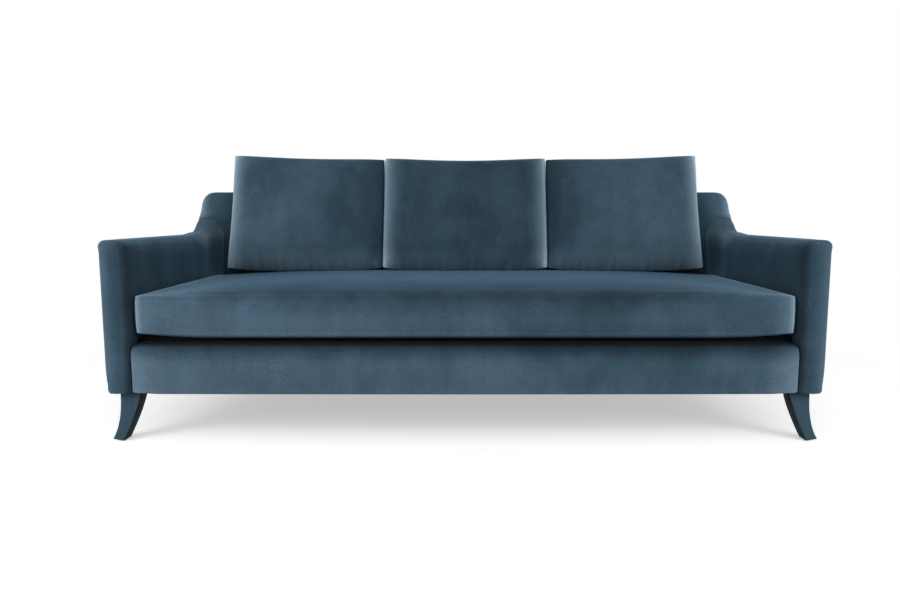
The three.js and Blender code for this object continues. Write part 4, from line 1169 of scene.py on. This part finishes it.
# The seam levels are painted light: slight painted shade on the cushion seams and arches, painted highlights on the
# seat's end seams and the pleats.
for place, seam in cushion_seams.items():
    sewn_ridge(f"{place}_back_cushion_seam", f"{place}_back_cushion", [(seam, True)], 0.001, 66)

upright_rings, roll_end_ring, edge_length = range(9, 26), 32, 71
right_corner = corner_points // 2
left_corner = seat_plans.shape[1] - 1 - run_points - right_corner
end_seams = []
for corner, step in ((right_corner, 1), (left_corner, -1)):
    upright = [seat_rings[k][corner] for k in upright_rings]
    edge = [seat_rings[roll_end_ring][corner + step * (i + 1)] for i in range(edge_length)]
    end_seams.append(([(x + step * 0.3, y - 0.2, z) for x, y, z in upright]
                      + [(x + step * 0.4, y, z + 0.3) for x, y, z in edge], False))
sewn_ridge("seat_cushion_end_seams", "seat_cushion", end_seams, 0.0012, 118)

arch = [(x, y - 0.6, z) for x, y, z in arm_rings[-2] if z > 470 and x < half_width - 12]
sewn_ridge("arm_arch_seams", "frame", on_both_arms(arch), 0.0011, 74)

arm_surface = BVHTree.FromPolygons([v.co for v in arm.data.vertices], [p.vertices for p in arm.data.polygons])
pleat = [arm_surface.ray_cast(Vector((x * MM, -0.6, z * MM)), Vector((0, 1, 0)))[0] / MM
         for x, z in zip(np.linspace(1080, 1055, 10), 629 - 9 * np.linspace(0, 1, 10) ** 1.6)]
sewn_ridge("arm_front_pleats", "frame", on_both_arms([(x, y + 0.4, z) for x, y, z in pleat]), 0.0013, 100)

# %% [markdown]
# ## The outside stitches
# The side and rear panels close the sofa and are sewn on by hand with a slip stitch, which
# shows as short ticks of thread just inside the edge. A row of small blocks, 6 mm long every
# 9 mm, follows each panel's edge.

# %% Hand stitches of the outside panels
def woven_finish(name, scale, dark, light, rough, bump=None, stretched=(1, 1, 1), rubbed=None, **values):
    """A plain weave of dark and light threads, paler in the patches where it is rubbed."""
    def make(tree, place):
        threads = pattern(tree, woven_threads, stretch(tree, place, stretched), Thread_Scale=scale)
        colour = mix_colour(tree, threads["Threads"], dark, light)
        if rubbed:
            patches = smooth_range(tree, noise(tree, place, 6.0, 3.0), 0.35, 0.7, 0.0, 0.35)
            colour = mix_colour(tree, patches, colour, rubbed)
        return colour, smooth_range(tree, threads["Threads"], 0, 1, *rough), threads["Height"]
    return finish(name, make, bump, **values)


thread = woven_finish("waxed_thread", 3200.0, srgb(34, 50, 61), srgb(66, 88, 103), (0.7, 0.5),
                      Specular_IOR_Level=0.3)
from_edge, raised = 5.0, 0.5
side_line = offset_outline(dense_outline(outside_arm_corners()), from_edge)
rear_line = offset_outline(dense_outline(rear_corners), from_edge)
rows = on_both_arms([side_place(y, z, raised) for y, z in side_line], True)
rows.append(([rear_place(x, z, raised) for x, z in rear_line], True))
stitches = along_path("panel_hand_stitches", row_along_path, rows, thread, Spacing=0.009,
                      Block_Size=(0.0009, 0.0009, 0.006))
dressed(stitches, "frame", "velvet")

# %% [markdown]
# ## The sabre legs
# Each leg is sawn from the plank in two sweeping cuts and painted in the velvet's colour, so
# its faces are flat and its four edges are softly broken. Rings from the top down follow the
# two sweeps. The paint stops at the sole, which is bare wood, and the toe lifts by 7 mm on
# the outer side where the sole was cut askew. The faces that look to the middle carry painted
# shade, and a band just below the velvet carries a painted shadow.

# %% Painted legs
def painted(tree, place):
    """Satin paint over wood: faint grain through it, lines left by the paintbrush, dull and bright patches, and the
    piece's painted shade.
    """
    along = stretch(tree, place, (1, 1, 1), (0, quarter, 0))
    wood, marks = pattern(tree, wood_grain, along), pattern(tree, fine_scuffs, along)
    paint = colour_with_painted_light(tree, mix_colour(tree, wood["Grain"], srgb(48, 68, 81), srgb(56, 78, 92)))
    return paint, smooth_range(tree, marks["Scuffs"], 0, 1, 0.6, 0.75), wood["Height"]


def timber_finish(name, turn):
    """Sawn hardwood, its grain turned to run along the piece."""
    def make(tree, place):
        wood = pattern(tree, wood_grain, stretch(tree, place, (1, 1, 1), turn))
        colour = mix_colour(tree, wood["Grain"], srgb(156, 112, 66), srgb(214, 172, 118))
        return colour, smooth_range(tree, wood["Grain"], 0, 1, 0.8, 0.62), wood["Height"]
    return finish(name, make, (0.4, 0.0008), Specular_IOR_Level=0.25)


painted_timber = finish("painted_timber", painted, (0.2, 0.0004), Specular_IOR_Level=0.06)
timber_along_x, timber_along_y, timber_upright = (timber_finish(name, turn) for name, turn in (
    ("timber_along_x", (0, 0, 0)), ("timber_along_y", (0, 0, quarter)), ("timber_upright", (0, quarter, 0))))
leg_inner, leg_outer = half_width - 96.0, half_width - 32.0
front_leg_y, rear_leg_y = front_y + 58.0, back_rear(underside) - 58.0


def leg(name, middle_y):
    """A right leg: flat faces between two sweeps, edges broken by 4 mm, a bare slanting sole."""
    top_z, sole_z, toe_lift, rings = underside + 1.7, 0.9, 7.0, []
    painted_rings = [(drop, 4.0, 0.0) for drop in (*np.linspace(0, 0.97, 28), 0.985, 0.992)]
    for drop, edge, inset in painted_rings + [(0.992, 3.2, 0.7), (1.0, 3.2, 0.7)]:
        inner = leg_inner - 2.0 * (1 - drop) + 60.5 * drop ** 1.35 + inset
        outer, half = leg_outer + 32.0 * drop ** 2.5 - inset, 28.0 - 2.0 * drop - inset
        right, left, far, near = outer - edge, inner + edge, half - edge, edge - half
        plan = [point for i, (x, y) in enumerate(((right, far), (left, far), (left, near), (right, near)))
                for point in arc_points(x, y, edge, quarter * i, quarter * (i + 1), 5)]
        level, slant = top_z + (sole_z - top_z) * drop, toe_lift * drop ** 5
        rings.append([(x, middle_y + y, level + slant * (x - inner) / (outer - inner)) for x, y in plan])
    piece = skin(name, rings, painted_timber)
    second_finish(piece, timber_upright,
                  lambda face: face.center.z < (0.02 if face.normal.z < -0.9 else 0.0006))
    return piece


def leg_painted_shade(x, y, z, nx, ny, nz):
    """Painted shade on the faces that look to the middle, and a painted shadow just below the velvet."""
    return 79 - 61 * unit(-nx * np.sign(x)) ** 2 - 16 * fade(underside - 2 - z, 16, 0.6)


for end_name, middle_y in (("front", front_leg_y), ("rear", rear_leg_y)):
    right_leg = paint_light(leg(f"right_{end_name}_leg_painted", middle_y), leg_painted_shade)
    dressed_pair(right_leg, "painted_timber", f"{end_name}_leg")

# %% [markdown]
# ## The seat deck
# When the seat cushion slides out, the platform under it shows: a firm pad covered in dark
# lining, with a strip of the darker velvet without sheen along the front, painted near black as
# shade where the deck can be seen between the cushion and the rail. A boxed pad with rolled
# edges is enough, since it is always flat; four tacked lines across it hold the wadding down.

# %% Seat deck
lining = woven_finish("lining", 1500.0, srgb(26, 36, 44), srgb(52, 68, 80), (0.96, 0.82), (0.35, 0.0006),
                      rubbed=srgb(60, 76, 88), Specular_IOR_Level=0.15)
deck_half, deck_low, deck_top, deck_roll = 1040.0, 309.4, 329.8, 8.0
deck_front, deck_rear = front_y + 60.6, back_front(deck_height) - 28.0
strip_end = deck_front + 92.0
tack_lines = np.linspace(-deck_half, deck_half, 6)[1:-1]


def deck_dip(x, y):
    """How far the pad is pressed down, along the tacked lines and the seam of the velvet strip."""
    lines = max(exp(-((x - line) / 9.0) ** 2) for line in tack_lines)
    return 3.0 * lines * unit((y - strip_end) / 60) + 1.2 * exp(-((y - strip_end) / 3.0) ** 2)


def deck_pad():
    """A flat pad with rolled edges: sections across it from the left end to the right."""
    rolled = deck_roll * (1 - np.cos(np.linspace(0, quarter, 6)))
    flat = np.linspace(-deck_half + deck_roll, deck_half - deck_roll, 150)
    rings = []
    for x in np.unique(np.concatenate([-deck_half + rolled, flat, deck_half - rolled])):
        inset = round_in(deck_roll, deck_half - abs(x))
        front, rear, top = deck_front + inset, deck_rear - inset, deck_top - inset
        ring = [(front + 2, deck_low), (front, deck_low + 2)]
        ring += arc_points(front + deck_roll, top - deck_roll, deck_roll, pi, quarter, 6)
        ring += [(y, z - deck_dip(x, y))
                 for y, z in line_points((front + deck_roll, top), (rear - deck_roll, top), 70)]
        ring += arc_points(rear - deck_roll, top - deck_roll, deck_roll, quarter, 0, 6)
        ring += [(rear, deck_low + 2), (rear - 2, deck_low)]
        rings.append([(x, y, z) for y, z in ring])
    return skin("seat_deck_pad", rings, lining)


# The pad's painted light is deep shade; only the velvet strip shows it, near black.
deck = paint_light(deck_pad(), 20)
second_finish(deck, velvet_in_painted_shade, lambda face: face.center.y < strip_end * MM)
dressed(deck, "frame", "lining", "seat_deck", fill=0.9)
rows = [([(line, y, deck_top - 2.4) for y in np.linspace(strip_end + 70, deck_rear - 30, 30)], False)
        for line in tack_lines]
strip_half = deck_half - 15
rows.append(([(x, strip_end + 3, deck_top - 0.4) for x in np.linspace(-strip_half, strip_half, 60)], False))
stitches = along_path("seat_deck_stitches", row_along_path, rows, thread, Spacing=0.011,
                      Block_Size=(0.001, 0.001, 0.007))
dressed(stitches, "frame", "lining")

# %% [markdown]
# ## The dust cover
# Black fleece closes the underside. It is one sheet, cut round the legs, turned under at its
# edge and stapled every 40 mm. The staples are a row of small wire bridges from the same tree
# as the stitches.

# %% Dust cover and staples
def fleece(tree, place):
    """Non-woven fleece: short fibres in every direction, slightly glossy where pressed."""
    fibres = noise(tree, stretch(tree, place, (1, 0.25, 1)), 900.0, 3.0, 0.7)
    dots = node(tree, "ShaderNodeTexVoronoi", {"Vector": place, "Scale": 420.0}).outputs["Distance"]
    pressed = smooth_range(tree, dots, 0.1, 0.35)
    both = maths(tree, "MULTIPLY", fibres, pressed)
    colour = mix_colour(tree, both, srgb(18, 18, 20), srgb(48, 48, 52))
    return colour, smooth_range(tree, pressed, 0, 1, 0.6, 0.95), both


def hard_finish(name, dark, light, rough, metallic=1.0):
    """Plain or plated steel, and with metallic 0 a moulded plastic, with fine scuffs."""
    def make(tree, place):
        marks = pattern(tree, fine_scuffs, place)
        return (mix_colour(tree, marks["Scuffs"], dark, light),
                smooth_range(tree, marks["Scuffs"], 0, 1, rough, rough + 0.18), marks["Height"])
    return finish(name, make, (0.15, 0.0002), Metallic=metallic)


cambric = finish("cambric", fleece, (0.3, 0.0003))
spring_steel = hard_finish("spring_steel", srgb(92, 92, 96), srgb(150, 150, 152), 0.32)
zinc_steel = hard_finish("zinc_steel", srgb(168, 172, 174), srgb(214, 216, 216), 0.28)
nylon = hard_finish("nylon", srgb(20, 20, 22), srgb(40, 40, 43), 0.5, 0.0)
cover_front, cover_rear, cover_side = front_y + 32.3, 406.6, 1081.7


def dust_cover():
    """One thin sheet with notches round the four legs and a rolled hem, and the line of its staples."""
    notch_x, half_notch = leg_inner - 4.0, 33.0
    front_notch, rear_notch = front_leg_y + half_notch, rear_leg_y - half_notch
    right, left = both_sides([(notch_x, cover_front), (notch_x, front_notch), (cover_side, front_notch),
                              (cover_side, rear_notch), (notch_x, rear_notch), (notch_x, cover_rear)])
    outline = dense_outline(right + left, 20.0)
    steps = [(0.6, 1.5), (0.0, 1.1), (0.0, 0.5), (0.6, 0.15), (11.0, 0.15), (11.6, 0.55), (14.0, 0.6)]
    rings = [[(x, y, underside + lift) for x, y in offset_outline(outline, inset)] for inset, lift in steps]
    return skin("dust_cover_sheet", rings, cambric), offset_outline(outline, 6.0)


cover, staple_line = dust_cover()
dressed(cover, "frame", "cambric", "dust_cover")
rows = [([(x, y, underside - 0.1) for x, y in staple_line], True)]
staples = along_path("dust_cover_staples", row_along_path, rows, zinc_steel, Spacing=0.04,
                     Block_Size=(0.0011, 0.0009, 0.0105))
dressed(staples, "frame", "zinc_steel")

# %% [markdown]
# ## Zips
# Each cushion opens with a zip: in the rear face of the seat cushion, and under the foot of
# each back cushion. A zip is a flat tape with two staggered rows of teeth, a slider and a
# small pull.

# %% Zips of the four cushions
def zip_pieces(body, path, outward):
    """Tape, teeth, slider and pull along a straight path; outward is the way they face."""
    path, out = np.array(path, float), np.array(outward, float)
    run = (path[-1] - path[0]) / np.linalg.norm(path[-1] - path[0])
    wide, at, tape_half = np.cross(out, run), path[-1] - run * 14, 11.0

    def part(name, count, start, stop, section, material, slot):
        """A skin along the zip; section(share) gives its points as widths and heights."""
        rings = [[tuple(start + (stop - start) * share + wide * w + out * h) for w, h in section(share)]
                 for share in np.linspace(0, 1, count)]
        dressed(skin(f"{body}_zip_{name}", rings, material), body, slot)

    def tape_section(share):
        return [(tape_half, -0.9), (tape_half, 0.2), (-tape_half, 0.2), (-tape_half, -0.9)]

    def slider_section(share):
        half = 3.2 + 1.9 * sin(pi * min(1.0, share + 0.15))
        height = 3.6 * sin(pi * (0.12 + 0.76 * share)) ** 0.5
        return [(half * cos(a), 0.9 + height * 0.5 * (1 + sin(a))) for a in np.linspace(0, 2 * pi, 17)[:-1]]

    def pull_section(share):
        half = (2.2 + 1.2 * share) * (1 - (max(0.0, share - 0.85) / 0.16) ** 2) ** 0.5
        middle = 4.3 - 2.2 * share
        return [(half, middle - 0.5), (half, middle + 0.5), (-half, middle + 0.5), (-half, middle - 0.5)]

    part("tape", 2, path[0], path[-1], tape_section, lining, "lining")
    teeth = along_path(f"{body}_zip_teeth", row_along_path, [(path + out * 0.8, False)], nylon,
                       Spacing=0.0016, Block_Size=(0.0042, 0.0022, 0.0013), Stagger=0.0014)
    dressed(teeth, body, "nylon")
    part("slider", 9, at - run * 7, at + run * 7, slider_section, zinc_steel, "zinc_steel")
    part("pull", 12, at - run * 4, at - run * 26, pull_section, zinc_steel, "zinc_steel")


zip_half, zip_z = seat_half - 262.0, (seat_low + seat_edge_top) / 2
seat_zip = [(x, seat_rear + 1.0, zip_z) for x in np.linspace(-zip_half, zip_half, 40)]
zip_pieces("seat_cushion", seat_zip, (0, 1, 0))
for place, centre, width, seed in cushions:
    outer = copysign(width / 2 - 112.0, centre or -1)
    back_zip = [(x, cushion_foot + 18.0, seat_crest + 0.9)
                for x in np.linspace(centre + outer, centre - outer, 30)]
    zip_pieces(f"{place}_back_cushion", back_zip, (0, 0, -1))

# %% [markdown]
# ## Finishes of the solids that stay
# The rails, posts, springs, webbing, bolts, glides and foam keep their CAD shapes and only
# take a finish. Wood grain has to run along each stick, so there are three timbers that
# differ in the turn of their pattern.

# %% Foam and jute, and a finish for every solid that stays
def foam_cells(tree, place):
    """Open pores in foam that has yellowed in places."""
    cells = node(tree, "ShaderNodeTexVoronoi", {"Vector": place, "Scale": 550.0}).outputs["Distance"]
    pores = smooth_range(tree, cells, 0.15, 0.6)
    yellowed = smooth_range(tree, noise(tree, place, 5.0, 3.0), 0.3, 0.7)
    body = mix_colour(tree, yellowed, srgb(236, 226, 196), srgb(220, 204, 158))
    colour = mix_colour(tree, pores, srgb(176, 160, 120), body)
    return colour, smooth_range(tree, pores, 0, 1, 0.98, 0.88), cells


foam = finish("foam", foam_cells, (0.5, 0.001))
jute = woven_finish("jute", 1900.0, srgb(120, 96, 58), srgb(190, 162, 112), (0.95, 0.8), (0.5, 0.0012),
                    (1, 0.3, 1))
finish_by_word = {
    "dust_cover": cambric, "spring": spring_steel, "webbing": jute, "core": foam, "bolt": zinc_steel,
    "glide": nylon, "cover": velvet, "arm_pad": velvet, "outside": velvet, "border": velvet,
    "inside_back": velvet, "deck": lining, "_leg_block": timber_along_y, "_leg": painted_timber}


def finish_for(name):
    """The finish of a solid: by the first word that its name has, else timber along its longest side."""
    low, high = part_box(name)
    size = [high[i] - low[i] for i in range(3)]
    along_longest = (timber_along_x, timber_along_y, timber_upright)[size.index(max(size))]
    return next((material for word, material in finish_by_word.items() if word in name), along_longest)


given = {}
for name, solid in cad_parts.items():
    material = finish_for(name)
    solid.data.materials.clear()
    solid.data.materials.append(material)
    given[material.name] = given.get(material.name, 0) + 1
print("finishes:", given)
